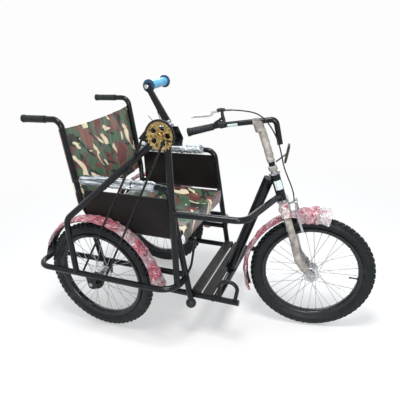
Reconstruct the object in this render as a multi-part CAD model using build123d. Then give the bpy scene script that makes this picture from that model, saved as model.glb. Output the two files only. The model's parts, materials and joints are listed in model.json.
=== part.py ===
from build123d import *
import math
import os

# Hand-cranked mobility tricycle, in millimetres and at its real size.
# X points forward, Y to the rider's left, Z up, and the tyres stand on Z = 0.
# Places along X are measured from the rear axle. At the end the whole model moves back by
# MIDDLE_X, so that the origin lies on the floor under the middle of the tricycle.

# Driving dimensions of the whole. WHEEL_SPREAD is from the middle plane to a rear wheel.
WHEEL_RADIUS = 257.0
WHEELBASE = 863.0
WHEEL_SPREAD = 303.0
TUBE_RADIUS = 12.7
ROOT_GAP = 0.2
RUN_CLEAR = 0.08
SEAT_GAP = 0.3

# Wheels: tyre, rim, laced spokes and flanged hub
TYRE_WIDTH = 54.0
TYRE_HEIGHT = 54.0
RIM_WIDTH = 34.0
RIM_DEPTH = 12.0
RIM_FLANGE = 5.0
SPOKES = 36
SPOKE_SIZE = 2.0
SPOKE_LEAD = 38.0
SPOKE_CIRCLE = 27.0
FLANGE_RADIUS = 31.0
FLANGE_OFFSET = 28.0
FLANGE_THICK = 4.0
HUB_RADIUS = 16.0
HUB_NOSE = 9.0
AXLE_RADIUS = 5.0
NUT_RADIUS = 9.0
NUT_HEIGHT = 8.0
AXLE_PROUD = 10.0
SPACER_RADIUS = 8.0

# Fenders: a crowned shell that stands clear of the tyre, from one angle to another
FENDER_CLEAR = 27.0
FENDER_MARGIN = 5.0
FENDER_CREST = 9.0
FENDER_THICK = 2.0
REAR_FENDER_SPAN = (3.0, 166.5)
FRONT_FENDER_SPAN = (81.0, 200.0)
FENDER_BOLTS = (8.0, 103.0, 164.5)
BOLT_RADIUS = 4.0

# Base frame: an outer rail round each rear wheel, inner rails, plates that hold the axles
BASE_RISE = 43.0
RAIL_OUT = 75.0
INNER_IN = 58.0
RAIL_BEHIND = 31.0
RAIL_AHEAD = 133.0
RAIL_FRONT_BEND = 75.0
RAIL_REAR_BEND = 60.0
PLATE_THICK = 5.0
PLATE_WIDTH = 56.0
PLATE_DROP = 26.0
PLATE_TAPER = 0.62
PLATE_CORNER = 12.0

# Foot frame, measured down from the base rails, and its toe bar back from the front tyre
FOOT_DROP = 102.0
FOOT_INSET = 14.0
TOE_BAR_BACK = 92.0
TOE_BAR_RADIUS = 16.0
FOOT_AHEAD = 98.0
FOOT_BEHIND = 324.0
FOOT_RISE_RUN = 32.0
FOOT_BEND = 40.0
SLAT_BACK = (88.0, 36.0)
SLAT_WIDTH = 42.0
SLAT_HEIGHT = 11.0
SLAT_OVERHANG = 4.0
SLAT_RIBS = 5
RIB_DEPTH = 2.5
HOOP_RADIUS = 8.0
HOOP_HEIGHT = 94.0
HOOP_START = 12.0
HOOP_LENGTH = 86.0
HOOP_LEAN = (6.0, 18.0)
HOOP_BEND = 32.0
BALL_RADIUS = 22.0
BALL_DROP = 20.0

# Seat, back and arms, with heights over the base rails
SEAT_RISE = 188.0
SEAT_RAIL_IN = 51.0
CROSS_RADIUS = 11.0
SEAT_REAR_X = -57.0
SEAT_SIDE_IN = 35.0
ARM_RISE = 390.0
ARM_BACK = 45.0
ARM_BEND = 45.0
LEG_AHEAD = 18.0
LEG_BELOW = 8.0
PAD_RADIUS = 23.0
PAD_LENGTH = 349.0
HANDLE_RISE = 638.0
HANDLE_END_X = -298.0
HANDLE_BEND = 38.0
BACK_FOOT_X = -28.0
BACK_KNEE_X = -62.0
BACK_KNEE_RISE = 220.0
BACK_LOW_X = -74.0
BACK_LOW_RISE = 288.0
BACK_TOP_X = -112.0
GRIP_RADIUS = 16.0
GRIP_LENGTH = 118.0
GRIP_CAP = 3.0
SLING_THICK = 6.0
SLING_RISE = (304.0, 598.0)
SLING_REAR = 12.0
SLING_FRONT = 27.0
PANEL_THICK = 4.0
PANEL_REAR_X = -50.0
PANEL_HEIGHT = 172.0
PANEL_BELOW_ARM = {"right": 44.0, "left": 26.0}
LEVER_RADIUS = 5.0
LEVER_AHEAD = (26.0, 50.0)
LEVER_RISE = (60.0, 190.0)
LEVER_BEND = 150.0

# Steering: the head axis leans back, and the fork carries the wheel ahead of it
HEAD_BACK = 135.0
HEAD_OVER_TYRE = 67.0
RAKE = 17.6
HEAD_LENGTH = 112.0
HEAD_RADIUS = 19.0
STEERER_RADIUS = 14.0
CUP_RADIUS = 23.0
CUP_HEIGHT = 9.0
STEER_AT_REST = 10.0
CROWN_DROP = 25.0
CROWN_RADIUS = 15.0
BLADE_MARGIN = 23.0
BLADE_RADIUS = 12.5
BLADE_KNEE = (-57.0, 78.0)
BLADE_BEND = 110.0
EYE_RADIUS = 17.0
EYE_THICK = 8.0
DOWN_TUBE_RADIUS = 22.0
DOWN_TUBE_TOP = (-56.0, 87.0)
STEM_RADIUS = 18.0
STEM_LENGTH = 198.0
STEM_OVER_STEERER = 29.0
CLAMP_RADIUS = 19.0

# Tiller, as places back from the head's foot and up from it
BAR_RADIUS = 11.0
BAR_REAR = (-383.0, 272.0)
BAR_RISE = (-258.0, 300.0)
BAR_FRONT = (-38.0, 323.0)
BAR_DROP = (-18.0, 227.0)
BAR_BEND = 22.0
CLAMP_REAR = (-130.0, 312.5)
CLAMP_FRONT = (-80.0, 318.0)
TILLER_GRIP_LENGTH = 108.0
TILLER_GRIP_RADIUS = 17.0
BRAKE_LEVER = ((-244.0, 316.0), (-254.0, 355.0), (-278.0, 361.0), (-372.0, 336.0))
BRAKE_LEVER_SIZE = (8.0, 9.0)
COLLAR_LENGTH = 16.0
COLLAR_RADIUS = 16.0
REFLECTOR_SIZE = (8.0, 50.0, 68.0)
REFLECTOR_AT = (10.0, 191.0)
REFLECTOR_LEAN = 10.0
CALIPER_AHEAD = 45.0
CALIPER_WIDTH = 44.0
CALIPER_BAR = (7.0, 9.0)
BRAKE_TURN = 104.0

# Drive: a hand crank over the right arm turns the right rear wheel by a chain
PITCH = 12.7
CRANK_TEETH = 26
WHEEL_TEETH = 18
CHAIN_OUT = 49.0
SPROCKET_THICK = 2.3
LINK_THICK = 1.0
LINK_HEIGHT = 8.0
ROLLER_SIZE = 6.0
CRANK_X = 372.0
CRANK_RISE = 614.0
CRANK_LENGTH = 170.0
CRANK_ANGLE = 118.5
CRANK_ARM_INSET = 46.0
CRANK_ARM_THICK = 10.0
SPINDLE_RADIUS = 8.0
SHELL_RADIUS = 20.0
SHELL_START = 18.0
SHELL_END = 48.0
POST_INSET = 15.0
POST_FOOT_X = 386.0
STAY_FOOT_X = -72.0
STAY_KNEE_RISE = 253.0
STAY_BEND = 60.0
GUSSET = ((-112, -26), (-72, 16), (46, 24), (64, -16), (58, -44), (-60, -50))
GUSSET_THICK = 4.0
CRANK_GRIP_RADIUS = 15.5
CRANK_GRIP_LENGTH = 134.0
GRIP_FLANGE_RADIUS = 23.0
GRIP_FLANGE_THICK = 5.0
GRIP_PIN_RADIUS = 6.0
FREEWHEEL_BODY_RADIUS = 26.0
HUB_BOSS_RADIUS = 17.0

# Places worked out from the driving dimensions
AXLE_Z = WHEEL_RADIUS
RIGHT, LEFT = -1, 1
SIDES = {"right": RIGHT, "left": LEFT}
BEAD_RADIUS = WHEEL_RADIUS - TYRE_HEIGHT
RIM_INNER_RADIUS = BEAD_RADIUS - RIM_DEPTH
FENDER_RADIUS = WHEEL_RADIUS + FENDER_CLEAR
FENDER_HALF_WIDTH = TYRE_WIDTH / 2 + FENDER_MARGIN
BASE_Z = AXLE_Z + BASE_RISE
RAIL_Y = WHEEL_SPREAD + RAIL_OUT
INNER_Y = WHEEL_SPREAD - INNER_IN
RAIL_REAR_X = -WHEEL_RADIUS - RAIL_BEHIND
RAIL_FRONT_X = WHEEL_RADIUS + RAIL_AHEAD
MIDDLE_X = (WHEELBASE + WHEEL_RADIUS + RAIL_REAR_X - TUBE_RADIUS) / 2
PLATE_LOW = AXLE_Z - PLATE_DROP
FOOT_Z = BASE_Z - FOOT_DROP
FOOT_Y = INNER_Y - FOOT_INSET
TOE_BAR_X = WHEELBASE - WHEEL_RADIUS - TOE_BAR_BACK
SEAT_Z = BASE_Z + SEAT_RISE
SEAT_SIDE_Y = WHEEL_SPREAD - SEAT_SIDE_IN
SEAT_RAIL_Y = SEAT_SIDE_Y - SEAT_RAIL_IN
ARM_Z = BASE_Z + ARM_RISE
HANDLE_Z = BASE_Z + HANDLE_RISE
BACK_LOW_Z = BASE_Z + BACK_LOW_RISE
CRANK_Z = BASE_Z + CRANK_RISE
CHAIN_Y = -WHEEL_SPREAD - CHAIN_OUT
POST_Y = -WHEEL_SPREAD - POST_INSET
CRANK_ARM_Y = -WHEEL_SPREAD + CRANK_ARM_INSET
BLADE_Y = TYRE_WIDTH / 2 + BLADE_MARGIN
HEAD_X = WHEELBASE - HEAD_BACK
HEAD_Z = 2 * WHEEL_RADIUS + HEAD_OVER_TYRE
HEAD_UP = Vector(-math.sin(math.radians(RAKE)), 0, math.cos(math.radians(RAKE)))
HEAD_BASE = Vector(HEAD_X, 0, HEAD_Z)
STEER_AXIS = Axis(HEAD_BASE, HEAD_UP)


def head_point(height):
    """The point of the head axis at one height over the floor."""
    return HEAD_BASE + HEAD_UP * ((height - HEAD_Z) / HEAD_UP.Z)


def from_head(place, y=0.0):
    """A place given as a distance ahead of the head's foot and a height over it."""
    return (HEAD_X + place[0], y, HEAD_Z + place[1])


def leg_point(height, side):
    """The centre of a front leg at one height: it leans forward and inboard."""
    low_y = FOOT_Y + 2 * TUBE_RADIUS + ROOT_GAP
    share = (ARM_Z - height) / (ARM_Z - FOOT_Z)
    corner_x, foot_x = RAIL_FRONT_X - ARM_BACK, RAIL_FRONT_X + LEG_AHEAD
    return (corner_x + (foot_x - corner_x) * share,
            side * (SEAT_SIDE_Y + (low_y - SEAT_SIDE_Y) * share), height)


def back_point(height, side):
    """The centre of a leaning back tube at one height over the seat."""
    share = (height - BACK_LOW_Z) / (HANDLE_Z - BACK_LOW_Z)
    return (BACK_LOW_X + (BACK_TOP_X - BACK_LOW_X) * share, side * SEAT_SIDE_Y, height)


def bent_path(points, bend):
    """Straight runs through the points, each corner rounded by the bend radius or radii."""
    return FilletPolyline(*points, radius=bend) if bend else Polyline(*points)


def rod(points, radius, bend=0.0):
    """A round bar along straight runs and bends."""
    path = bent_path(points, bend)
    return sweep(Plane(origin=path @ 0, z_dir=path % 0) * Circle(radius), path=path)


def flat_bar(points, width, depth):
    """A flat bar along straight runs with mitred corners, its width along Y."""
    path = Polyline(*points)
    section = Plane(origin=path @ 0, x_dir=(0, 1, 0), z_dir=path % 0) * Rectangle(width, depth)
    return sweep(section, path=path, transition=Transition.RIGHT)


def cylinder_y(x, z, y_low, y_high, radius, bore=0.0):
    """A round piece along Y, with a bore where one is given."""
    plane = Plane(origin=(x, y_high, z), z_dir=(0, -1, 0))
    profile = Circle(radius) - Circle(bore) if bore else Circle(radius)
    return extrude(plane * profile, amount=y_high - y_low)


def on_head(start, length, radius, bore=0.0):
    """A round piece on the steering axis, from one distance above the head's foot."""
    plane = Plane(origin=HEAD_BASE + HEAD_UP * start, z_dir=HEAD_UP)
    return extrude(plane * (Circle(radius) - Circle(bore) if bore else Circle(radius)), amount=length)


def spun(outline, x=0.0):
    """A ring or shaft about an axle: the outline holds pairs of place along Y and radius."""
    face = Plane.YZ * make_face(Polyline(*[(y, AXLE_Z + radius) for y, radius in outline], close=True))
    return Pos(x, 0, 0) * revolve(face, Axis((0, 0, AXLE_Z), (0, 1, 0))).solid()


def stepped(steps):
    """The outline of a shaft: each step gives where along Y a new radius begins."""
    outline = [(steps[0][0], 0)]
    radius = 0
    for y, new_radius in steps:
        outline += [(y, radius)] if radius else []
        outline += [(y, new_radius)]
        radius = new_radius
    return outline


def largest(piece):
    """The largest solid of what a cut leaves."""
    return max(piece.solids(), key=lambda solid: solid.volume)


def coped(piece, *others):
    """A tube cut to its neighbours, one after another."""
    for other in others:
        piece = largest(piece - other)
    return piece


def slab(outline, y_middle, thickness):
    """A flat plate standing in the XZ plane, from its outline."""
    face = Plane.XZ * make_face(Polyline(*outline, close=True))
    return Pos(0, y_middle + thickness / 2, 0) * extrude(face, amount=thickness)


# Round members of the frame: points, radius, bend radius or radii
MEMBERS = {}
for name, side in SIDES.items():
    MEMBERS["rail_" + name] = (
        [leg_point(BASE_Z, side), (RAIL_FRONT_X, side * RAIL_Y, BASE_Z),
         (RAIL_REAR_X, side * RAIL_Y, BASE_Z), (RAIL_REAR_X, 0, BASE_Z)],
        TUBE_RADIUS, (RAIL_FRONT_BEND, RAIL_REAR_BEND))
    MEMBERS["inner_" + name] = (
        [(RAIL_REAR_X, side * INNER_Y, BASE_Z), (RAIL_FRONT_X, side * INNER_Y, BASE_Z)], TUBE_RADIUS, 0)
    MEMBERS["back_" + name] = (
        [(BACK_FOOT_X, side * INNER_Y, BASE_Z), (BACK_KNEE_X, side * INNER_Y, BASE_Z + BACK_KNEE_RISE),
         back_point(BACK_LOW_Z, side), back_point(HANDLE_Z, side),
         (HANDLE_END_X, side * SEAT_SIDE_Y, HANDLE_Z)], TUBE_RADIUS, HANDLE_BEND)
    MEMBERS["arm_" + name] = (
        [back_point(ARM_Z, side), leg_point(ARM_Z, side), leg_point(FOOT_Z - LEG_BELOW, side)],
        TUBE_RADIUS, ARM_BEND)
    MEMBERS["foot_" + name] = (
        [(TOE_BAR_X + FOOT_AHEAD, side * FOOT_Y, FOOT_Z), (TOE_BAR_X - FOOT_BEHIND, side * FOOT_Y, FOOT_Z),
         (TOE_BAR_X - FOOT_BEHIND - FOOT_RISE_RUN, side * INNER_Y, BASE_Z)], TUBE_RADIUS, FOOT_BEND)
    MEMBERS["seat_rail_" + name] = (
        [(SEAT_REAR_X - 3, side * SEAT_RAIL_Y, SEAT_Z),
         (leg_point(SEAT_Z, side)[0] + 3, side * SEAT_RAIL_Y, SEAT_Z)], TUBE_RADIUS, 0)
MEMBERS["seat_front"] = (
    [leg_point(SEAT_Z, RIGHT), leg_point(SEAT_Z, LEFT)], CROSS_RADIUS, 0)
MEMBERS["seat_rear"] = (
    [(SEAT_REAR_X, -INNER_Y, SEAT_Z), (SEAT_REAR_X, INNER_Y, SEAT_Z)], CROSS_RADIUS, 0)
MEMBERS["toe_bar"] = (
    [(TOE_BAR_X, -FOOT_Y, FOOT_Z), (TOE_BAR_X, FOOT_Y, FOOT_Z)], TOE_BAR_RADIUS, 0)
hoop_rear = TOE_BAR_X + HOOP_START
hoop_front = hoop_rear + HOOP_LENGTH
MEMBERS["hoop"] = (
    [(hoop_rear, -FOOT_Y, FOOT_Z), (hoop_rear + HOOP_LEAN[0], -FOOT_Y, FOOT_Z + HOOP_HEIGHT),
     (hoop_front, -FOOT_Y, FOOT_Z + HOOP_HEIGHT), (hoop_front - HOOP_LEAN[1], -FOOT_Y, FOOT_Z)],
    HOOP_RADIUS, HOOP_BEND)
MEMBERS["down"] = (
    [(TOE_BAR_X - 14, 0, FOOT_Z), from_head(DOWN_TUBE_TOP)], DOWN_TUBE_RADIUS, 0)
MEMBERS["post"] = (
    [(POST_FOOT_X, POST_Y - TUBE_RADIUS, BASE_Z), (CRANK_X + 10, POST_Y, CRANK_Z - 14)], TUBE_RADIUS, 0)
MEMBERS["stay"] = (
    [(CRANK_X - 10, POST_Y, CRANK_Z - 6), (STAY_FOOT_X - 4, -RAIL_Y, BASE_Z + STAY_KNEE_RISE),
     (STAY_FOOT_X, -RAIL_Y, BASE_Z)], TUBE_RADIUS, STAY_BEND)
MEMBERS["side"] = (
    [(POST_FOOT_X, POST_Y - 6, HEAD_Z + 32), (HEAD_X - 76, POST_Y + 33, HEAD_Z + 19),
     tuple(head_point(HEAD_Z + 19))], TUBE_RADIUS, 55)


def member(name, extra=0.0):
    """One member of the table, made fatter where another tube is cut to it."""
    points, radius, bend = MEMBERS[name]
    return rod(points, radius + extra, bend)


def cutter(name):
    """What a tube that meets this member is cut by: the member and the weld's root gap."""
    return member(name, ROOT_GAP)


parts = {}


# Base rails, each with a plate that hangs from it and holds one end of a rear axle
def axle_plate(y_middle):
    """A tapered plate under a rail, round at its foot, with the axle's hole."""
    half, low_half = PLATE_WIDTH / 2, PLATE_WIDTH / 2 * PLATE_TAPER
    plate = slab([(-half, BASE_Z), (half, BASE_Z), (low_half, PLATE_LOW), (-low_half, PLATE_LOW)],
                 y_middle, PLATE_THICK)
    plate = fillet(plate.edges().filter_by(Axis.Y).group_by(Axis.Z)[0], PLATE_CORNER)
    return plate - cylinder_y(0, AXLE_Z, -2 * RAIL_Y, 2 * RAIL_Y, AXLE_RADIUS)


inner_rails = []
for name, side in SIDES.items():
    other_half = Pos(0, -side * RAIL_Y, BASE_Z) * Box(4 * WHEELBASE, 2 * RAIL_Y, 4 * TUBE_RADIUS)
    rail = coped(member("rail_" + name), cutter("arm_" + name), other_half)
    parts["rail_" + name] = rail + axle_plate(side * RAIL_Y)
    inner = coped(member("inner_" + name), cutter("arm_" + name), cutter("rail_" + name))
    inner_rails.append((inner + axle_plate(side * INNER_Y)).solid())
    parts["back_tube_" + name] = coped(member("back_" + name), cutter("inner_" + name))
    parts["arm_tube_" + name] = coped(member("arm_" + name), cutter("back_" + name))
parts["inner_rails"] = Compound(children=inner_rails)

# A bent lever that stands ahead of the right leg, welded to it at the height of the rails
lever_foot = leg_point(BASE_Z, RIGHT)
lever = rod([lever_foot] + [(lever_foot[0] + ahead, lever_foot[1], BASE_Z + rise)
                            for ahead, rise in zip(LEVER_AHEAD, LEVER_RISE)], LEVER_RADIUS, LEVER_BEND)
parts["arm_tube_right"] = parts["arm_tube_right"].fuse(lever - member("rail_right", ROOT_GAP))

# Foot frame: two long tubes, the toe bar and the hoop, welded into one
foot = coped(member("foot_right"), cutter("inner_right"))
foot += coped(member("foot_left"), cutter("inner_left"))
foot += member("toe_bar")
below_foot = Pos(TOE_BAR_X, 0, FOOT_Z - 2 * HOOP_RADIUS) * Box(WHEELBASE, 4 * FOOT_Y, 4 * HOOP_RADIUS)
foot += member("hoop") - below_foot
parts["foot_frame"] = foot

# Foot slats: shallow ribbed channels across the foot tubes
slat_low = FOOT_Z + TUBE_RADIUS
slat_top = slat_low + SLAT_HEIGHT
rib = SLAT_WIDTH / (2 * SLAT_RIBS - 1)
slats = []
for back in SLAT_BACK:
    rear_edge = TOE_BAR_X - back - SLAT_WIDTH / 2
    outline = [(rear_edge, slat_low)]
    for number in range(SLAT_RIBS):
        rib_edge = rear_edge + 2 * rib * number
        outline += [(rib_edge, slat_top), (rib_edge + rib, slat_top)]
        if number < SLAT_RIBS - 1:
            outline += [(rib_edge + rib, slat_top - RIB_DEPTH), (rib_edge + 2 * rib, slat_top - RIB_DEPTH)]
    outline += [(rear_edge + SLAT_WIDTH, slat_low)]
    slats.append(coped(slab(outline, 0, 2 * (FOOT_Y + SLAT_OVERHANG)), cutter("down")))
parts["foot_slats"] = Compound(children=slats)

# Seat frame and the two slings
seat_front = coped(member("seat_front"), cutter("arm_right"), cutter("arm_left"))
seat_rear = coped(member("seat_rear"), cutter("back_right"), cutter("back_left"))
parts["seat_frame"] = seat_front.fuse(seat_rear, member("seat_rail_right"), member("seat_rail_left"))
sling_rear = SEAT_REAR_X + SLING_REAR
sling_front = leg_point(SEAT_Z, LEFT)[0] + SLING_FRONT
sling_low = SEAT_Z + TUBE_RADIUS + SEAT_GAP
parts["seat_sling"] = slab([(sling_rear, sling_low), (sling_front, sling_low),
                            (sling_front, sling_low + SLING_THICK), (sling_rear, sling_low + SLING_THICK)],
                           0, 2 * (SEAT_RAIL_Y + TUBE_RADIUS))
low, high = [back_point(BASE_Z + rise, LEFT) for rise in SLING_RISE]
half = SLING_THICK / 2
parts["back_sling"] = slab([(low[0] - half, low[2]), (low[0] + half, low[2]), (high[0] + half, high[2]),
                            (high[0] - half, high[2])], 0, 2 * (SEAT_SIDE_Y - TUBE_RADIUS - SEAT_GAP))

# Arm pads round the arm tubes, push grips on the handles, and skirt panels under the arms
pads, panels, grips = [], [], []
pad_rear_x = back_point(ARM_Z, LEFT)[0] + TUBE_RADIUS + PAD_RADIUS - 8
for name, side in SIDES.items():
    pad_plane = Plane(origin=(pad_rear_x, side * SEAT_SIDE_Y, ARM_Z), z_dir=(1, 0, 0))
    pad = extrude(pad_plane * (Circle(PAD_RADIUS) - Circle(TUBE_RADIUS + ROOT_GAP)), amount=PAD_LENGTH)
    pads.append(pad.solid())
    top = ARM_Z - PANEL_BELOW_ARM[name]
    bottom = top - PANEL_HEIGHT
    panel = slab([(PANEL_REAR_X, bottom), (leg_point(bottom, side)[0], bottom),
                  (leg_point(top, side)[0], top), (PANEL_REAR_X, top)], side * SEAT_SIDE_Y, PANEL_THICK)
    panels.append(coped(panel, cutter("arm_" + name)))
    grip_plane = Plane(origin=(HANDLE_END_X - GRIP_CAP, side * SEAT_SIDE_Y, HANDLE_Z), z_dir=(1, 0, 0))
    grips.append(coped(extrude(grip_plane * Circle(GRIP_RADIUS), amount=GRIP_LENGTH), member("back_" + name, 0.05)))
parts["arm_pads"] = Compound(children=pads)
parts["skirt_panels"] = Compound(children=panels)
parts["push_grips"] = Compound(children=grips)

# Front of the frame: down tube and head tube in one, cups, and the side tube from the drive post
head_bore = on_head(-HEAD_LENGTH / 2, 2 * HEAD_LENGTH, STEERER_RADIUS + RUN_CLEAR)
down_tube = coped(member("down"), cutter("toe_bar"))
parts["front_frame"] = on_head(0, HEAD_LENGTH, HEAD_RADIUS) + down_tube - head_bore
parts["side_tube"] = coped(member("side"), cutter("post"), on_head(0, HEAD_LENGTH, HEAD_RADIUS + ROOT_GAP))
parts["headset_cups"] = Compound(children=[
    on_head(start, CUP_HEIGHT, CUP_RADIUS, STEERER_RADIUS + RUN_CLEAR) for start in (-CUP_HEIGHT, HEAD_LENGTH)])

# Drive bracket: the crank's shell on a gusset plate, carried by the post and the stay
shell_seat = cylinder_y(CRANK_X, CRANK_Z, -2 * RAIL_Y, 0, SHELL_RADIUS + ROOT_GAP)
spindle_bore = cylinder_y(CRANK_X, CRANK_Z, -2 * RAIL_Y, 0, SPINDLE_RADIUS + RUN_CLEAR)
parts["drive_post"] = coped(member("post"), cutter("rail_right"), shell_seat)
parts["drive_stay"] = coped(member("stay"), cutter("rail_right"), cutter("post"), shell_seat)
gusset_y = POST_Y + TUBE_RADIUS + ROOT_GAP + GUSSET_THICK / 2
gusset = slab([(CRANK_X + ahead, CRANK_Z + up) for ahead, up in GUSSET], gusset_y, GUSSET_THICK)
shell = cylinder_y(CRANK_X, CRANK_Z, CHAIN_Y + SHELL_START, POST_Y + SHELL_END, SHELL_RADIUS)
parts["crank_bracket"] = gusset + shell - spindle_bore

# Ball foot under the right leg: a turned rubber bulb
ball_outline = [(BALL_RADIUS * math.sin(math.radians(turn)), BALL_RADIUS * math.cos(math.radians(turn)))
                for turn in range(0, 181, 20)]
ball = revolve(Plane.XZ * make_face(Polyline(*ball_outline, close=True)), Axis.Z)
leg_end = leg_point(FOOT_Z - LEG_BELOW, RIGHT)
parts["ball_foot"] = coped(Pos(leg_end[0], leg_end[1], leg_end[2] - BALL_DROP) * ball, member("arm_right", 0.05))


# Wheels: tyre, then rim, spokes and hub in one piece
def tyre(x, y):
    """A fat tyre: shoulders, crest and beads turned about the axle."""
    half, bead = TYRE_WIDTH / 2, RIM_WIDTH / 2 - 1.5
    outline = [(-bead, 0), (-half, 0.52), (-half * 0.52, 1), (half * 0.52, 1), (half, 0.52), (bead, 0)]
    return spun([(y + across, BEAD_RADIUS + TYRE_HEIGHT * out) for across, out in outline], x)


def spoke(y, number):
    """One spoke: from a flange hole, led round by SPOKE_LEAD, to its seat in the rim."""
    flange = 1 if number % 2 else -1
    lead = 1 if (number // 2) % 2 else -1
    rim_turn = math.radians(360 / SPOKES * number)
    hub_turn = rim_turn + math.radians(SPOKE_LEAD) * lead
    reach = RIM_INNER_RADIUS + RIM_DEPTH / 4
    start = Vector(SPOKE_CIRCLE * math.cos(hub_turn), y + flange * (FLANGE_OFFSET + SPOKE_SIZE * 0.7 * lead),
                   AXLE_Z + SPOKE_CIRCLE * math.sin(hub_turn))
    end = Vector(reach * math.cos(rim_turn), y + flange * SPOKE_SIZE, AXLE_Z + reach * math.sin(rim_turn))
    line = Plane(origin=start, z_dir=end - start)
    return extrude(line * Rectangle(SPOKE_SIZE, SPOKE_SIZE), amount=(end - start).length)


def wheel(x, y, hub_low, hub_high, boss_low=0.0):
    """Rim, laced spokes and hub, bored for its axle, with a boss where a freewheel sits."""
    half = RIM_WIDTH / 2
    body = spun([(y - half, BEAD_RADIUS), (y - half, BEAD_RADIUS - RIM_FLANGE),
                 (y - half * 0.6, RIM_INNER_RADIUS), (y + half * 0.6, RIM_INNER_RADIUS),
                 (y + half, BEAD_RADIUS - RIM_FLANGE), (y + half, BEAD_RADIUS)])
    near, far = FLANGE_OFFSET - FLANGE_THICK / 2, FLANGE_OFFSET + FLANGE_THICK / 2
    body += spun(stepped([(hub_low, HUB_NOSE), (y - far, FLANGE_RADIUS), (y - near, HUB_RADIUS),
                          (y + near, FLANGE_RADIUS), (y + far, HUB_NOSE), (hub_high, 0)]))
    if boss_low:
        body += cylinder_y(0, AXLE_Z, boss_low, y - FLANGE_OFFSET, HUB_BOSS_RADIUS)
    body = body.fuse(*[spoke(y, number) for number in range(SPOKES)])
    return Pos(x, 0, 0) * (body - cylinder_y(0, AXLE_Z, -2 * RAIL_Y, 2 * RAIL_Y, AXLE_RADIUS + RUN_CLEAR))


hub_inner = INNER_Y + NUT_RADIUS
hub_outer = {"right": -CHAIN_Y + NUT_HEIGHT, "left": WHEEL_SPREAD + 50}
for name, side in SIDES.items():
    ends = sorted((side * hub_inner, side * (WHEEL_SPREAD + 36 if side == RIGHT else hub_outer[name])))
    parts["wheel_rear_" + name] = wheel(0, side * WHEEL_SPREAD, *ends, -hub_outer[name] if side == RIGHT else 0)
    parts["tyre_rear_" + name] = tyre(0, side * WHEEL_SPREAD)


# Fenders: the rear ones are bolted to the inner rails and the back tubes
def fender(x, y, start, end):
    """A crowned shell over the tyre, from one angle to another about the axle."""
    half, wall = FENDER_HALF_WIDTH, FENDER_THICK
    crown = [(-1, FENDER_CREST), (-0.7, FENDER_CREST * 0.36), (-0.25, 0), (0.25, 0),
             (0.7, FENDER_CREST * 0.36), (1, FENDER_CREST)]
    outline = [(y + half * across, FENDER_RADIUS - down) for across, down in crown]
    outline += [(y + (half - wall) * across, FENDER_RADIUS - wall - down) for across, down in reversed(crown)]
    face = Plane.YZ * make_face(Polyline(*[(a, AXLE_Z + r) for a, r in outline], close=True))
    axis = Axis((0, 0, AXLE_Z), (0, 1, 0))
    return Pos(x, 0, 0) * revolve(face.rotate(axis, 90 - start), axis, -(end - start))


for name, side in SIDES.items():
    mudguard = fender(0, side * WHEEL_SPREAD, *REAR_FENDER_SPAN)
    bolt_reach = FENDER_RADIUS - FENDER_CREST - 1
    bolt_ends = sorted((side * (INNER_Y + 2), side * (WHEEL_SPREAD - FENDER_HALF_WIDTH + 1.5)))
    for turn in FENDER_BOLTS:
        x, z = bolt_reach * math.cos(math.radians(turn)), AXLE_Z + bolt_reach * math.sin(math.radians(turn))
        mudguard += coped(cylinder_y(x, z, *bolt_ends, BOLT_RADIUS), cutter("inner_" + name), cutter("back_" + name))
    parts["fender_" + name] = mudguard

# Rear axles: a bolt through both plates, a nut outside each, and a spacer inside each
axles = []
for name, side in SIDES.items():
    inner_face, outer_face = INNER_Y - PLATE_THICK / 2, RAIL_Y + PLATE_THICK / 2
    shaft = AXLE_RADIUS - 0.05
    steps = [(inner_face - AXLE_PROUD, shaft), (inner_face - NUT_HEIGHT, NUT_RADIUS), (inner_face, shaft),
             (inner_face + PLATE_THICK, SPACER_RADIUS), (hub_inner - 0.5, shaft),
             (hub_outer[name] + 0.5, SPACER_RADIUS), (outer_face - PLATE_THICK, shaft),
             (outer_face, NUT_RADIUS), (outer_face + NUT_HEIGHT, shaft), (outer_face + AXLE_PROUD, 0)]
    axles.append(spun([(side * y, radius) for y, radius in stepped(steps)]))
parts["rear_axles"] = Compound(children=axles)


# Chain drive: two sprockets on one plane and the chain's links and rollers round them
def pitch_radius(teeth):
    """The radius on which the chain's rollers lie."""
    return PITCH / (2 * math.sin(math.pi / teeth))


def tooth_ring(teeth, bore, windows=()):
    """A sprocket's flat face, its teeth standing between the rollers of the pitch circle."""
    outline = []
    for number in range(teeth):
        for share, out in ((-0.26, -3.4), (-0.07, 3.0), (0.07, 3.0), (0.26, -3.4)):
            turn = 2 * math.pi * (number + share) / teeth
            reach = pitch_radius(teeth) + out
            outline.append((reach * math.cos(turn), reach * math.sin(turn)))
    face = make_face(Polyline(*outline, close=True)) - Circle(bore)
    for count, radius, at in windows:
        for place in PolarLocations(at, count):
            face -= place * Circle(radius)
    return face


def standing(face, x, y, z, thickness):
    """A flat face stood up in the XZ plane and made a plate about y."""
    return Pos(x, y, z) * extrude(Plane.XZ * face, amount=thickness / 2, both=True)


parts["crank_sprocket"] = standing(tooth_ring(CRANK_TEETH, SPINDLE_RADIUS, [(5, 9.5, 29)]),
                                   CRANK_X, CHAIN_Y, CRANK_Z, SPROCKET_THICK)
parts["freewheel"] = standing(tooth_ring(WHEEL_TEETH, FREEWHEEL_BODY_RADIUS - 2), 0, CHAIN_Y, AXLE_Z,
                              SPROCKET_THICK).fuse(
    cylinder_y(0, AXLE_Z, CHAIN_Y - 6, CHAIN_Y + 9, FREEWHEEL_BODY_RADIUS, HUB_BOSS_RADIUS + RUN_CLEAR))

big, small = pitch_radius(CRANK_TEETH), pitch_radius(WHEEL_TEETH)
run = Vector(CRANK_X, 0, CRANK_Z - AXLE_Z)
run_turn = math.atan2(run.Z, run.X)
splay = math.acos((big - small) / run.length)
straight = math.sqrt(run.length ** 2 - (big - small) ** 2)


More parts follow.
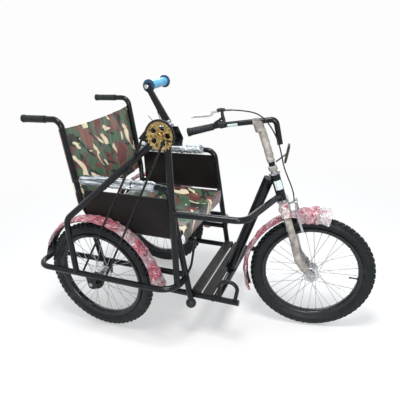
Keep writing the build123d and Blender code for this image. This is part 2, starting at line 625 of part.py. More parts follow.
def belt(grow):
    """The flat shape inside a loop round both pitch circles, made larger by grow."""
    corners = []
    for x, z, radius, turns in ((CRANK_X, CRANK_Z, big, (splay, -splay)), (0, AXLE_Z, small, (-splay, splay))):
        corners += [(x + (radius + grow) * math.cos(run_turn + turn),
                     z + (radius + grow) * math.sin(run_turn + turn)) for turn in turns]
    return make_face(Polyline(*corners, close=True)) + Pos(CRANK_X, CRANK_Z) * Circle(big + grow) + \
        Pos(0, AXLE_Z) * Circle(small + grow)


link_loop = belt(LINK_HEIGHT / 2) - belt(-LINK_HEIGHT / 2)
link_offset = SPROCKET_THICK / 2 + 1 + LINK_THICK / 2 - 0.45
chain = standing(link_loop, 0, CHAIN_Y - link_offset, 0, LINK_THICK)
chain += standing(link_loop, 0, CHAIN_Y + link_offset, 0, LINK_THICK)
rollers = []
for turn in (splay, -splay):
    away = Vector(math.cos(run_turn + turn), 0, math.sin(run_turn + turn))
    start = Vector(0, CHAIN_Y, AXLE_Z) + away * small
    along = (Vector(CRANK_X, CHAIN_Y, CRANK_Z) + away * big - start).normalized()
    for number in range(3, int(straight / PITCH) - 2):
        plane = Plane(origin=start + along * (number * PITCH), x_dir=along, z_dir=(0, 1, 0))
        rollers.append(extrude(plane * Rectangle(ROLLER_SIZE, ROLLER_SIZE), amount=link_offset, both=True))
parts["chain"] = chain.fuse(*rollers)

# Hand crank: spindle and arm in one, with a grip that turns on its pin
reach = Vector(math.cos(math.radians(CRANK_ANGLE)), 0, math.sin(math.radians(CRANK_ANGLE))) * CRANK_LENGTH
pin_at = Vector(CRANK_X, 0, CRANK_Z) + reach
arm_half = CRANK_ARM_THICK / 2
grip_low = CRANK_ARM_Y + arm_half + 1
grip_high = grip_low + CRANK_GRIP_LENGTH
arm_plane = Plane(origin=(CRANK_X, CRANK_ARM_Y + arm_half, CRANK_Z), x_dir=reach, z_dir=(0, -1, 0))
arm_face = make_face(Polyline((0, -14), (CRANK_LENGTH, -9), (CRANK_LENGTH, 9), (0, 14), close=True))
arm_face = arm_face + Circle(14) + Pos(CRANK_LENGTH, 0) * Circle(11)
crank_arm = extrude(arm_plane * arm_face, amount=CRANK_ARM_THICK)
crank_arm += cylinder_y(CRANK_X, CRANK_Z, CHAIN_Y - 6, CRANK_ARM_Y + 12, SPINDLE_RADIUS)
crank_arm += cylinder_y(CRANK_X, CRANK_Z, CHAIN_Y + SPROCKET_THICK / 2, CHAIN_Y + SHELL_START - 0.5,
                       SPINDLE_RADIUS + 4)
crank_arm += cylinder_y(pin_at.X, pin_at.Z, CRANK_ARM_Y, grip_high + 6, GRIP_PIN_RADIUS)
parts["crank_arm"] = crank_arm
pin_bore = GRIP_PIN_RADIUS + RUN_CLEAR
grip = cylinder_y(pin_at.X, pin_at.Z, grip_low, grip_high, CRANK_GRIP_RADIUS, pin_bore)
for low_y in (grip_low, grip_high - GRIP_FLANGE_THICK):
    grip += cylinder_y(pin_at.X, pin_at.Z, low_y, low_y + GRIP_FLANGE_THICK, GRIP_FLANGE_RADIUS, pin_bore)
parts["crank_grip"] = grip

# Steered pieces are made straight ahead and turned at the end to where the photograph shows them
steered = {}
crown_at = head_point(HEAD_Z - CROWN_DROP)
crown = rod([(crown_at.X, -BLADE_Y - 8, crown_at.Z), (crown_at.X, BLADE_Y + 8, crown_at.Z)], CROWN_RADIUS)
crown_seat = rod([(crown_at.X, -2 * BLADE_Y, crown_at.Z), (crown_at.X, 2 * BLADE_Y, crown_at.Z)],
                 CROWN_RADIUS + ROOT_GAP)
fork = on_head(-CROWN_DROP / HEAD_UP.Z, HEAD_LENGTH + 56, STEERER_RADIUS) + crown
eye_half = EYE_THICK / 2
for side in (RIGHT, LEFT):
    blade_y = side * BLADE_Y
    blade = rod([(crown_at.X, blade_y, crown_at.Z),
                 (WHEELBASE + BLADE_KNEE[0], blade_y, AXLE_Z + BLADE_KNEE[1]),
                 (WHEELBASE - 6, blade_y, AXLE_Z + 10)], BLADE_RADIUS, BLADE_BEND)
    inside = BLADE_Y - eye_half - 0.1
    fork += blade - cylinder_y(WHEELBASE, AXLE_Z, -inside, inside, 30)
    fork += cylinder_y(WHEELBASE, AXLE_Z, blade_y - eye_half, blade_y + eye_half, EYE_RADIUS)
steered["fork"] = fork - cylinder_y(WHEELBASE, AXLE_Z, -2 * BLADE_Y, 2 * BLADE_Y, AXLE_RADIUS)

front_hub = BLADE_Y - 8
shaft = AXLE_RADIUS - 0.05
steps = [(-BLADE_Y - eye_half - NUT_HEIGHT - 4, shaft), (-BLADE_Y - eye_half - NUT_HEIGHT, NUT_RADIUS),
         (-BLADE_Y - eye_half, shaft), (-BLADE_Y + eye_half, SPACER_RADIUS), (-front_hub - 0.5, shaft),
         (front_hub + 0.5, SPACER_RADIUS), (BLADE_Y - eye_half, shaft), (BLADE_Y + eye_half, NUT_RADIUS),
         (BLADE_Y + eye_half + NUT_HEIGHT, shaft), (BLADE_Y + eye_half + NUT_HEIGHT + 4, 0)]
steered["front_axle"] = spun(stepped(steps), WHEELBASE)


# Stem and tiller: one bar along the middle, back to its grip and forward to a short drop
def bar_line(radius):
    """The tiller's bar, or what fits round it."""
    return rod([from_head(place) for place in (BAR_REAR, BAR_RISE, BAR_FRONT, BAR_DROP)], radius, BAR_BEND)


stem_low = HEAD_LENGTH + CUP_HEIGHT + 1
stem = on_head(stem_low, STEM_LENGTH, STEM_RADIUS)
stem += rod([from_head(CLAMP_REAR), from_head(CLAMP_FRONT)], CLAMP_RADIUS)
stem -= on_head(0, stem_low + STEM_OVER_STEERER, STEERER_RADIUS)
steered["stem"] = stem - bar_line(BAR_RADIUS)
steered["tiller"] = bar_line(BAR_RADIUS)
bar_rear, bar_rise = Vector(*from_head(BAR_REAR)), Vector(*from_head(BAR_RISE))
slope = (bar_rise - bar_rear).normalized()
grip_plane = Plane(origin=bar_rear - slope * GRIP_CAP, z_dir=slope)
steered["tiller_grip"] = extrude(grip_plane * Circle(TILLER_GRIP_RADIUS), amount=TILLER_GRIP_LENGTH) \
    - bar_line(BAR_RADIUS)

# Brake lever on its collar, its blade along the underside of the hand
collar_at = bar_rise + slope * 4
collar = rod([tuple(collar_at), tuple(collar_at + Vector(1, 0, 0.18) * COLLAR_LENGTH)], COLLAR_RADIUS)
lever = flat_bar([from_head(place) for place in BRAKE_LEVER], *BRAKE_LEVER_SIZE)
steered["brake_lever"] = lever + collar - bar_line(BAR_RADIUS + 0.02)

# Reflector on a flat bracket from the stem
reflector_at = from_head(REFLECTOR_AT)
plate = Pos(*reflector_at) * Rot(0, REFLECTOR_LEAN, 0) * Box(*REFLECTOR_SIZE)
bracket_low = HEAD_BASE + HEAD_UP * (stem_low + 30)
bracket = flat_bar([tuple(bracket_low), reflector_at], 14, 4)
steered["reflector"] = coped(plate + bracket, on_head(0, 3 * HEAD_LENGTH, STEM_RADIUS + ROOT_GAP))

# Front fender on a lug from the crown, and the brake caliper round it with its two arms
lug_turn = math.radians(180 - 67)
lug_end = (WHEELBASE + (FENDER_RADIUS - 1) * math.cos(lug_turn), 0,
           AXLE_Z + (FENDER_RADIUS - 1) * math.sin(lug_turn))
lug = flat_bar([tuple(crown_at), lug_end], 16, 8)
steered["front_fender"] = coped(fender(WHEELBASE, 0, *FRONT_FENDER_SPAN) + lug, crown_seat)
pivot = (crown_at.X + CALIPER_AHEAD, 0, crown_at.Z + 22)
caliper = flat_bar([tuple(crown_at), pivot], 10, 10)
caliper += cylinder_y(pivot[0], pivot[2], -12, 12, 9)
pad_turn = math.radians(BRAKE_TURN)
pad_x, pad_z = (BEAD_RADIUS - 3) * math.cos(pad_turn), (BEAD_RADIUS - 3) * math.sin(pad_turn)
for side in (RIGHT, LEFT):
    caliper += flat_bar([(pivot[0], side * 6, pivot[2]), (pivot[0] + 4, side * CALIPER_WIDTH, pivot[2] - 20),
                         (WHEELBASE + pad_x, side * CALIPER_WIDTH, AXLE_Z + pad_z + 10),
                         (WHEELBASE + pad_x, side * (RIM_WIDTH / 2 + 5), AXLE_Z + pad_z)], *CALIPER_BAR)
steered["brake_caliper"] = coped(caliper, crown_seat)

# Brake cable: from the lever past the right of the stem to the caliper, as places ahead, across and up
CABLE_RADIUS = 2.5
CABLE_ROUTE = [(-250, -3, 356), (-230, -10, 360), (-198, -16, 361), (-156, -20, 358), (-116, -21, 351),
               (-85, -21, 333), (-60, -21, 305), (-38, -21, 269), (-21, -20, 229), (-10, -20, 187),
               (0, -20, 143), (18, -20, 99), (36, -18, 57), (45, -14, 25), (48, -10, -1)]


def route_radii(points):
    """An arc for each corner: 0.45 of its shorter run over the tangent of half its turn."""
    radii = []
    for before, at, after in zip(points, points[1:], points[2:]):
        arriving, leaving = Vector(*at) - Vector(*before), Vector(*after) - Vector(*at)
        half_turn = math.radians(arriving.get_angle(leaving)) / 2
        radii.append(0.45 * min(arriving.length, leaving.length) / math.tan(half_turn))
    return radii


cable_route = [from_head((ahead, up), y) for ahead, y, up in CABLE_ROUTE]
cable_radii = route_radii(cable_route)
print("cable bend radii", [round(radius) for radius in cable_radii])
cable_path = FilletPolyline(*cable_route, radius=cable_radii)
cable_section = Plane(origin=cable_path @ 0, z_dir=cable_path % 0) * RegularPolygon(CABLE_RADIUS, 6)
cable = sweep(cable_section, path=cable_path)
print("cable volume over section times length", round(cable.volume / (cable_section.area * cable_path.length), 3))
steered["brake_cable"] = coped(cable, steered["brake_lever"], steered["brake_caliper"])

steered["wheel_front"] = wheel(WHEELBASE, 0, -front_hub, front_hub)
steered["tyre_front"] = tyre(WHEELBASE, 0)
for name, piece in steered.items():
    parts[name] = piece.rotate(STEER_AXIS, STEER_AT_REST)

os.makedirs("parts", exist_ok=True)
for name, piece in parts.items():
    export_step(Pos(-MIDDLE_X, 0, 0) * piece, "parts/" + name + ".step")
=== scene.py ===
import json

import bmesh
import bpy
import numpy as np
from mathutils import Matrix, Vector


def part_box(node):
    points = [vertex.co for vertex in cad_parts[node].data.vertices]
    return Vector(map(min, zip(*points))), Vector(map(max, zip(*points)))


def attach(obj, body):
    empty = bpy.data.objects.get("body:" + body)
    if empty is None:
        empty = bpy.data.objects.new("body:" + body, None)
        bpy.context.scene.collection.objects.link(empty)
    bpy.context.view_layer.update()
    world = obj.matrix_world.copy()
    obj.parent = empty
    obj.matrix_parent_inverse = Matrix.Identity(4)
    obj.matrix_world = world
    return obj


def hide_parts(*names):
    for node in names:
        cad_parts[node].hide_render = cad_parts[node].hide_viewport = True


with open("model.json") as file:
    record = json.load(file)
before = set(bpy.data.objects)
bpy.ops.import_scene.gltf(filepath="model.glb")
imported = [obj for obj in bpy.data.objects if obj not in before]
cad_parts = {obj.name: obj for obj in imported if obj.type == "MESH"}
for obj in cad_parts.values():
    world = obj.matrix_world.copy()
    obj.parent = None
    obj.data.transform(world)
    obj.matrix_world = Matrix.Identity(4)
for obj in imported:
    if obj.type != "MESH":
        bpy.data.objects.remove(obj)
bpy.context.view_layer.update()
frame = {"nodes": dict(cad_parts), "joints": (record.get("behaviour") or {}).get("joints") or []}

# Viewpoint: to the right of the tricycle and a little ahead, at a standing person's eye height,
# with the whole machine in a square picture. Angles are in radians, places in metres.
CAMERA_AT = (0.59495, -1.58460, 1.24146)
CAMERA_YAW, CAMERA_PITCH, CAMERA_ROLL = 2.0049598, 0.4219676, -0.0630020
CAMERA_LENS, CAMERA_SENSOR, CAMERA_SHIFT = 37.1665, 36.0, (0.047056, 0.034980)
CAMERA_REACH = 60.0


def stand(thing, side, top, back, at):
    """Puts a camera or a lamp at a place, with its own X, Y and Z axes along three directions."""
    bpy.context.scene.collection.objects.link(thing)
    pose = np.eye(4)
    pose[:3] = np.column_stack([side, top, back, at])
    thing.matrix_world = Matrix(pose.tolist())


ahead = np.array([np.cos(CAMERA_YAW) * np.cos(CAMERA_PITCH), np.sin(CAMERA_YAW) * np.cos(CAMERA_PITCH),
                  -np.sin(CAMERA_PITCH)])
level = np.array([np.sin(CAMERA_YAW), -np.cos(CAMERA_YAW), 0.0])
upright = np.cross(level, ahead)
camera = bpy.data.objects.new("camera", bpy.data.cameras.new("camera"))
stand(camera, np.cos(CAMERA_ROLL) * level + np.sin(CAMERA_ROLL) * upright,
      np.cos(CAMERA_ROLL) * upright - np.sin(CAMERA_ROLL) * level, -ahead, CAMERA_AT)
camera.data.lens = CAMERA_LENS
camera.data.sensor_width = CAMERA_SENSOR
camera.data.shift_x, camera.data.shift_y = CAMERA_SHIFT
camera.data.clip_end = CAMERA_REACH
bpy.context.scene.camera = camera
bpy.context.scene.view_settings.view_transform = "Standard"

# Studio: a seamless pale floor that fades to white, a pale surround, and three large soft lamps.
# The surround shows white to the camera and in gloss, and lights the tricycle at a plain level.
FLOOR_SIZE, FLOOR_DROP = 60.0, 0.0005
FLOOR_COLOUR = (0.86, 0.86, 0.87, 1.0)
FADE_START, FADE_END, FADE_LEAST = 0.7, 2.8, 0.35
SURROUND_COLOUR, SURROUND_LIGHT = (0.94, 0.97, 1.0, 1.0), 0.58
PLAIN_WHITE = (0.98, 0.98, 0.98, 1.0)
LAMP_AIM = np.array([0.0, 0.0, 0.5])


def add(tree, kind, sockets=None, **settings):
    """One node of a material: its settings, then its sockets, each a number or another node's output."""
    made = tree.nodes.new("ShaderNode" + kind)
    for name, value in settings.items():
        setattr(made, name, value)
    for name, value in (sockets or {}).items():
        if isinstance(value, bpy.types.NodeSocket):
            tree.links.new(value, made.inputs[name])
        else:
            made.inputs[name].default_value = value
    return made


def bare_tree(owner):
    """The emptied node tree of a world or a material."""
    owner.use_nodes = True
    owner.node_tree.nodes.clear()
    return owner.node_tree


def white_rays(tree):
    """One for rays from the camera, from gloss and through glass, which see the plain white."""
    path = add(tree, "LightPath").outputs
    seen = add(tree, "Math", {0: path["Is Camera Ray"], 1: path["Is Transmission Ray"]}, operation="MAXIMUM")
    return add(tree, "Math", {0: seen.outputs[0], 1: path["Is Glossy Ray"]}, operation="MAXIMUM").outputs[0]


world = bpy.data.worlds.new("surround")
bpy.context.scene.world = world
tree = bare_tree(world)
lit = add(tree, "Background", {"Color": SURROUND_COLOUR, "Strength": SURROUND_LIGHT})
plain = add(tree, "Background", {"Color": PLAIN_WHITE, "Strength": 1.0})
mixed = add(tree, "MixShader", {0: white_rays(tree), 1: lit.outputs[0], 2: plain.outputs[0]})
add(tree, "OutputWorld", {"Surface": mixed.outputs[0]})

half = FLOOR_SIZE / 2
floor_mesh = bpy.data.meshes.new("floor")
floor_mesh.from_pydata([(-half, -half, 0), (half, -half, 0), (half, half, 0), (-half, half, 0)], [],
                       [(0, 1, 2, 3)])
floor = bpy.data.objects.new("floor", floor_mesh)
bpy.context.scene.collection.objects.link(floor)
floor.location.z = -FLOOR_DROP
floor_paint = bpy.data.materials.new("floor_paint")
tree = bare_tree(floor_paint)
out_from_middle = add(tree, "VectorMath", {0: add(tree, "TexCoord").outputs["Object"]}, operation="LENGTH")
fade = add(tree, "MapRange", {"Value": out_from_middle.outputs["Value"], "From Min": FADE_START,
                              "From Max": FADE_END, "To Min": FADE_LEAST, "To Max": 1.0},
           interpolation_type="SMOOTHSTEP")
share = add(tree, "Math", {0: white_rays(tree), 1: fade.outputs[0]}, operation="MULTIPLY")
matt = add(tree, "BsdfDiffuse", {"Color": FLOOR_COLOUR})
glow = add(tree, "Emission", {"Color": PLAIN_WHITE, "Strength": 1.0})
mixed = add(tree, "MixShader", {0: share.outputs[0], 1: matt.outputs[0], 2: glow.outputs[0]})
add(tree, "OutputMaterial", {"Surface": mixed.outputs[0]})
floor_mesh.materials.append(floor_paint)

# Each lamp: place, width, power, colour; all of them face the seat.
LAMPS = {
    "lamp_over": ((0.2, -0.7, 3.2), 0.9, 66.0, (1.0, 0.99, 0.97)),
    "lamp_right": ((1.5, -2.9, 1.7), 0.9, 46.0, (1.0, 1.0, 1.0)),
    "lamp_left": ((-1.4, 2.8, 2.2), 1.7, 38.0, (0.92, 0.96, 1.0)),
}


def unit(vector):
    """The same direction at length one."""
    vector = np.asarray(vector, float)
    return vector / np.linalg.norm(vector, axis=-1, keepdims=True)


for name, (at, width, power, colour) in LAMPS.items():
    lamp = bpy.data.objects.new(name, bpy.data.lights.new(name, "AREA"))
    lamp.data.size, lamp.data.energy, lamp.data.color = width, power, colour
    away = unit(at - LAMP_AIM)
    side = unit(np.cross([0.0, 0.0, 1.0], away))
    stand(lamp, side, np.cross(away, side), away, at)


# Frame tubes: welded round steel tube in gloss black enamel.
# The enamel has faint orange peel, thin patches of road dust, and a shine of its own.
def new_finish(name, roughness, metallic=0.0, coat=0.0, sheen=0.0, shine=0.5):
    """A material whose steady numbers are set on its own shader, with Object coordinates ready."""
    material = bpy.data.materials.new(name)
    material.use_nodes = True
    tree = material.node_tree
    shader = tree.nodes["Principled BSDF"]
    steady = {"Roughness": roughness, "Metallic": metallic, "Coat Weight": coat, "Coat Roughness": 0.12,
              "Sheen Weight": sheen, "Specular IOR Level": shine}
    for socket, value in steady.items():
        shader.inputs[socket].default_value = value
    return material, tree, shader, add(tree, "TexCoord").outputs["Object"]


EVEN = (1.0, 1.0, 1.0)


def noise(tree, where, scale, detail=4.0, stretch=EVEN, twist=0.0):
    """Fractal noise at a scale in turns per metre, stretched along the axes where asked."""
    placed_at = add(tree, "Mapping", {"Vector": where, "Scale": stretch})
    return add(tree, "TexNoise", {"Vector": placed_at.outputs[0], "Scale": scale, "Detail": detail,
                                  "Distortion": twist}).outputs["Fac"]


def ramp(tree, value, stops):
    """Colours by value: each stop is a position and a colour."""
    made = add(tree, "ValToRGB", {0: value})
    band = made.color_ramp
    while len(band.elements) < len(stops):
        band.elements.new(0.5)
    for element, (position, colour) in zip(band.elements, stops):
        element.position = position
        element.color = (*colour, 1.0)
    return made.outputs["Color"]


def paint(tree, shader, value, stops):
    """The base colour, taken from a value by its stops."""
    tree.links.new(ramp(tree, value, stops), shader.inputs["Base Color"])


def worn_gloss(tree, shader, value, low, high):
    """The roughness, a 0 to 1 value laid over a range of its own."""
    held = add(tree, "MapRange", {"Value": value, "To Min": low, "To Max": high})
    tree.links.new(held.outputs["Result"], shader.inputs["Roughness"])


def bump(tree, shader, height, distance, strength, under=None):
    """Relief of one height in metres; a finer one may lie on a coarser one."""
    sockets = {"Height": height, "Distance": distance, "Strength": strength}
    if under is not None:
        sockets["Normal"] = under
    made = add(tree, "Bump", sockets).outputs[0]
    tree.links.new(made, shader.inputs["Normal"])
    return made


def dress(material, *names):
    """Gives CAD nodes a finish in their own material slots."""
    for name in names:
        for held in frame["nodes"][name].material_slots:
            held.material = material


enamel, tree, shader, here = new_finish("black_enamel", 0.3, shine=0.26)
dust = noise(tree, here, 26.0, 6.0)
paint(tree, shader, dust, [(0.0, (0.0025, 0.0035, 0.0045)), (0.58, (0.004, 0.006, 0.008)),
                           (0.74, (0.014, 0.015, 0.016)), (0.9, (0.040, 0.038, 0.035))])
worn_gloss(tree, shader, dust, 0.06, 0.30)
bump(tree, shader, noise(tree, here, 420.0, 2.0), 0.0002, 0.5)
dress(enamel, "rail_right", "rail_left", "inner_rails", "back_tube_right", "back_tube_left", "arm_tube_right",
      "arm_tube_left", "foot_frame", "seat_frame", "front_frame", "side_tube", "drive_post", "drive_stay",
      "crank_bracket")


# Weld beads: the frame is joined by hand-laid fillets, each a ring of small ripples where one
# tube's end sits on another tube's round side. They are enamelled with the frame.
joints = {joint["name"]: joint for joint in frame["joints"]}
REAR_AXLE = np.array([joints["right_wheel_spin"]["pos_m"][0], 0.0, 0.0])
MERGE = 2e-6


def placed(points):
    """Millimetres from the rear axle's middle on the floor, turned into metres in the shared frame."""
    return np.asarray(points, float) / 1000.0 + REAR_AXLE


def circle(count):
    """Equal steps of a full turn, without its end."""
    return np.linspace(0, 2 * np.pi, count, endpoint=False)


def stacked(*parts):
    """Coordinates brought to one grid and put side by side."""
    return np.stack(np.broadcast_arrays(*parts), -1)


def build(name, sheets, material, body, replaced=(), sharp=38.0):
    """One piece at the origin from grids of points, rows by columns by 3.

    Each sheet is (points, rows close on themselves, columns close on themselves[, place]), where place
    holds a surface distance along and across for each point. Equal points are merged, faces turned out."""
    points, quads, places, start = [], [], [], 0
    for grid, round_rows, round_columns, *place in sheets:
        rows, columns = grid.shape[:2]
        i, j = np.meshgrid(np.arange(rows - (not round_rows)), np.arange(columns - (not round_columns)),
                           indexing="ij")
        k, m = (i + 1) % rows, (j + 1) % columns
        corners = [i * columns + j, k * columns + j, k * columns + m, i * columns + m]
        quads.append(start + np.stack(corners, -1).reshape(-1, 4))
        points.append(grid.reshape(-1, 3))
        flat = place[0] if place else np.zeros((rows, columns, 2))
        places.append(np.concatenate([flat.reshape(-1, 2), np.zeros((rows * columns, 1))], 1))
        start += rows * columns
    mesh = bpy.data.meshes.new(name)
    mesh.from_pydata(np.concatenate(points).tolist(), [], np.concatenate(quads).tolist())
    held = mesh.attributes.new("place", "FLOAT_VECTOR", "POINT")
    held.data.foreach_set("vector", np.concatenate(places).astype(np.float32).ravel())
    work = bmesh.new()
    work.from_mesh(mesh)
    bmesh.ops.remove_doubles(work, verts=work.verts, dist=MERGE)
    bmesh.ops.recalc_face_normals(work, faces=work.faces)
    work.to_mesh(mesh)
    work.free()
    mesh.shade_smooth()
    mesh.set_sharp_from_angle(angle=np.radians(sharp))
    mesh.materials.append(material)
    piece = bpy.data.objects.new(name, mesh)
    bpy.context.scene.collection.objects.link(piece)
    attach(piece, body)
    if replaced:
        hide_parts(*replaced)
    return piece


RIPPLE_SHARE, RIPPLES_ROUND = 0.22, 34


def weld_bead(at, along, other, radius, other_radius, bead=2.6):
    """A ring round a tube's end: at turn t it lies sqrt(R^2 - (r sin t)^2) out from the other tube's axis."""
    along, other = unit(along), unit(other)
    first = unit(other - np.dot(other, along) * along)
    second = np.cross(along, first)
    turn, small = circle(96)[:, None, None], circle(8)[None, :, None]
    reach = np.sqrt(np.maximum(other_radius ** 2 - (radius * 0.98 * np.sin(turn)) ** 2, 0.0))
    size = bead * (1 + RIPPLE_SHARE * np.sin(RIPPLES_ROUND * turn))
    ring = radius + size * 0.9 * np.cos(small)
    middle = ring * (np.cos(turn) * first + np.sin(turn) * second)
    return placed(np.asarray(at) + middle + (reach + size * np.sin(small) * 0.8) * along), True, True


FORWARD, LEFT, UP = (1, 0, 0), (0, 1, 0), (0, 0, 1)
INWARD, OUTWARD = (0, -1, 0), (0, 1, 0)
TUBE, CROSS, TOE_BAR, DOWN_TUBE, HEAD_TUBE, HOOP = 12.7, 11.0, 16.0, 22.0, 19.0, 8.0
RAIL_Z, SEAT_Z, ARM_Z, FOOT_Z, ARM_Y = 300.0, 488.0, 690.0, 198.0, 268.0
BACK_WAY, REAR_POST_WAY, LEG_WAY = (-38, 0, 350), (-34, 0, 220), (63, 0, -492)
# Each bead on both sides: where the tubes' axes meet on the left, the way its tube leaves, the other
# tube's way, and their radii.
SIDE_BEADS = [
    ((-28, 245, RAIL_Z), REAR_POST_WAY, FORWARD, TUBE, TUBE),
    ((-85, ARM_Y, ARM_Z), FORWARD, BACK_WAY, TUBE, TUBE),
    ((371, 263, SEAT_Z), INWARD, LEG_WAY, CROSS, TUBE),
    ((-57, 246, SEAT_Z), INWARD, REAR_POST_WAY, CROSS, TUBE),
    ((395, 258, RAIL_Z), OUTWARD, LEG_WAY, TUBE, TUBE),
    ((-288, 245, RAIL_Z), FORWARD, LEFT, TUBE, TUBE),
    ((514, 231, FOOT_Z), (-1, 0, 0), LEFT, TUBE, TOE_BAR),
    ((158, 245, RAIL_Z), (32, -14, -102), FORWARD, TUBE, TUBE),
]
beads = [weld_bead(np.multiply(at, (1, side, 1)), np.multiply(along, (1, side, 1)), *rest)
         for side in (-1, 1) for at, along, *rest in SIDE_BEADS]
beads += [
    weld_bead((386, -323, RAIL_Z), UP, LEFT, TUBE, TUBE),
    weld_bead((-72, -378, RAIL_Z), UP, FORWARD, TUBE, TUBE),
    weld_bead((385, -321, 613), FORWARD, UP, TUBE, TUBE),
    weld_bead((722.3, 0, 600), (-0.15, -1, 0), (-0.302, 0, 0.953), TUBE, HEAD_TUBE),
    weld_bead((506, 0, 206), (172, 0, 470), LEFT, DOWN_TUBE, DOWN_TUBE + 0.1, 3.2),
    weld_bead((526, -231, FOOT_Z), (6, 0, 94), FORWARD, HOOP, TUBE, 2.2),
    weld_bead((594, -231, FOOT_Z), (10, 0, 94), FORWARD, HOOP, TUBE, 2.2),
]
build("weld_beads", beads, enamel, "frame")


# Seat and back slings: one layer each of coated camouflage cloth. The back is pulled round the rear
# of both back tubes, and the seat over its side rails and down over the front cross tube.
def ripples(along, across, seed, count=9, lengths=(0.05, 0.3)):
    """Soft random relief: a sum of sine waves in seeded directions, of height about one."""
    draw = np.random.default_rng(seed)
    total = np.zeros(np.broadcast(along, across).shape)
    for _ in range(count):
        heading, phase = draw.uniform(0, 2 * np.pi, 2)
        wave = 2 * np.pi / draw.uniform(*lengths)
        total += np.sin(wave * (along * np.cos(heading) + across * np.sin(heading)) + phase)
    return total / np.sqrt(count)


def overlay(tree, share, under, over):
    """One colour laid over another by a share; each is a fixed colour or a node's output."""
    sockets = {"Factor": share}
    for socket, colour in (("A", under), ("B", over)):
        sockets[socket] = (*colour, 1.0) if isinstance(colour, tuple) else colour
    return add(tree, "Mix", sockets, data_type="RGBA").outputs["Result"]


def passed(tree, value, start, end, top=1.0):
    """Nought where a value is under start, rising to top where it is over end."""
    return add(tree, "MapRange", {"Value": value, "From Min": start, "From Max": end,
                                  "To Max": top}).outputs["Result"]


camouflage, tree, shader, here = new_finish("camouflage_cloth", 0.36, coat=0.12, sheen=0.1, shine=0.4)
place = add(tree, "Attribute", attribute_name="place").outputs["Vector"]
GREEN, GREY_GREEN, DARK = (0.036, 0.112, 0.056), (0.075, 0.120, 0.078), (0.010, 0.017, 0.013)
# The tan colour is partly the print's own tan and partly painted highlight: its long pale streaks stand in
# for the coated cloth's gloss.
RUST, BROWN, TAN_AND_HIGHLIGHT = (0.140, 0.040, 0.040), (0.20, 0.082, 0.064), (0.78, 0.67, 0.47)
BLOT_LEAN, BLOT_WIDTH = -0.85, 0.62
# Each printed colour: where its blots start, their scale, their least height, the softness of their
# edges, and how much longer than wide they are.
BLOTS = ((RUST, (3.1, 0.4, 0.0), 8.6, 0.500, 0.045, 1.6), (BROWN, (5.2, 6.4, 0.0), 11.0, 0.572, 0.035, 2.2),
         (DARK, (7.7, 2.9, 0.0), 9.4, 0.548, 0.045, 1.8), (TAN_AND_HIGHLIGHT, (1.3, 8.1, 0.0), 11.0, 0.588, 0.022, 2.3))
painted = ramp(tree, noise(tree, place, 8.0, 2.0), [(0.36, GREEN), (0.60, GREY_GREEN)])
for colour, shift, scale, least, soft, stretch in BLOTS:
    turned = add(tree, "Mapping", {"Vector": place, "Location": shift, "Rotation": (0, 0, BLOT_LEAN),
                                   "Scale": (stretch * BLOT_WIDTH, BLOT_WIDTH, 1.0)}, vector_type="TEXTURE")
    blot = add(tree, "TexNoise", {"Vector": turned.outputs[0], "Scale": scale, "Detail": 2.2,
                                  "Distortion": 0.9})
    painted = overlay(tree, passed(tree, blot.outputs["Fac"], least, least + soft), painted, colour)
tree.links.new(painted, shader.inputs["Base Color"])
worn_gloss(tree, shader, noise(tree, here, 14.0), 0.24, 0.44)
creases = bump(tree, shader, noise(tree, here, 22.0, 3.0, (1.0, 1.0, 0.35), 1.2), 0.005, 0.6)
weave = add(tree, "TexWave", {"Vector": place, "Scale": 210.0, "Distortion": 0.2}, bands_direction="DIAGONAL")
bump(tree, shader, weave.outputs["Fac"], 0.0002, 0.35, creases)


def thicken(piece, wall):
    """Half a sheet's thickness on either side of it, in metres."""
    held = piece.modifiers.new("thickness", "SOLIDIFY")
    held.thickness, held.offset = wall, 0.0


def back_line(height):
    """Where the back tubes' centre lies ahead of the axle, in millimetres, at a height over the floor."""
    return -74.0 - 38.0 * (height - 588.0) / 350.0


CLOTH = 0.0016
SLEEVE, WRAP_TURN = TUBE + 1.8, 0.46 * np.pi
BACK_LOW, BACK_HIGH, BACK_BELLY, BACK_CREASE, BACK_DIP = 574.0, 896.0, 3.0, 2.0, 8.0
back_width = 2 * (ARM_Y + WRAP_TURN * SLEEVE)


def back_cloth(rise, along):
    """The back sling: flat between the tubes, then a circle's arc of radius SLEEVE round each of them.

    Between the tubes it bellies back and is creased, and its upper edge dips in the middle."""
    beyond = np.clip(np.abs(along) - ARM_Y, 0, None) / SLEEVE
    inside = np.clip(1 - np.abs(along) / ARM_Y, 0, 1)
    ease = np.clip(inside / 0.3, 0, 1)
    ease = ease * ease * (3 - 2 * ease)
    crease = BACK_CREASE * ripples(rise * 0.284, along / 1000 * 2.4, 5) * np.clip(inside * 6, 0.05, 1)
    z = BACK_LOW + (BACK_HIGH - BACK_LOW) * rise
    x = (back_line(z) - SLEEVE * np.cos(beyond) * (1 - 0.7 * ease)
         - BACK_BELLY * np.sin(np.pi * rise) * ease + crease)
    y = np.sign(along) * (np.minimum(np.abs(along), ARM_Y) + SLEEVE * np.sin(beyond))
    return x, y, z - BACK_DIP * np.clip(rise - 0.8, 0, 1) * 5 * np.sin(np.pi * inside / 2)


rise = np.linspace(0, 1, 72)[:, None]
along = np.linspace(-0.5, 0.5, 150)[None, :] * back_width
x, y, z = back_cloth(rise, along)
back = placed(stacked(x, y, z))
back_place = stacked(along / 1000 + 0.6, (z - BACK_LOW) / 1000 + 0.2)
back_sling = build("back_sling_cloth", [(back, False, False, back_place)], camouflage, "frame",
                   ["back_sling"])
thicken(back_sling, CLOTH)

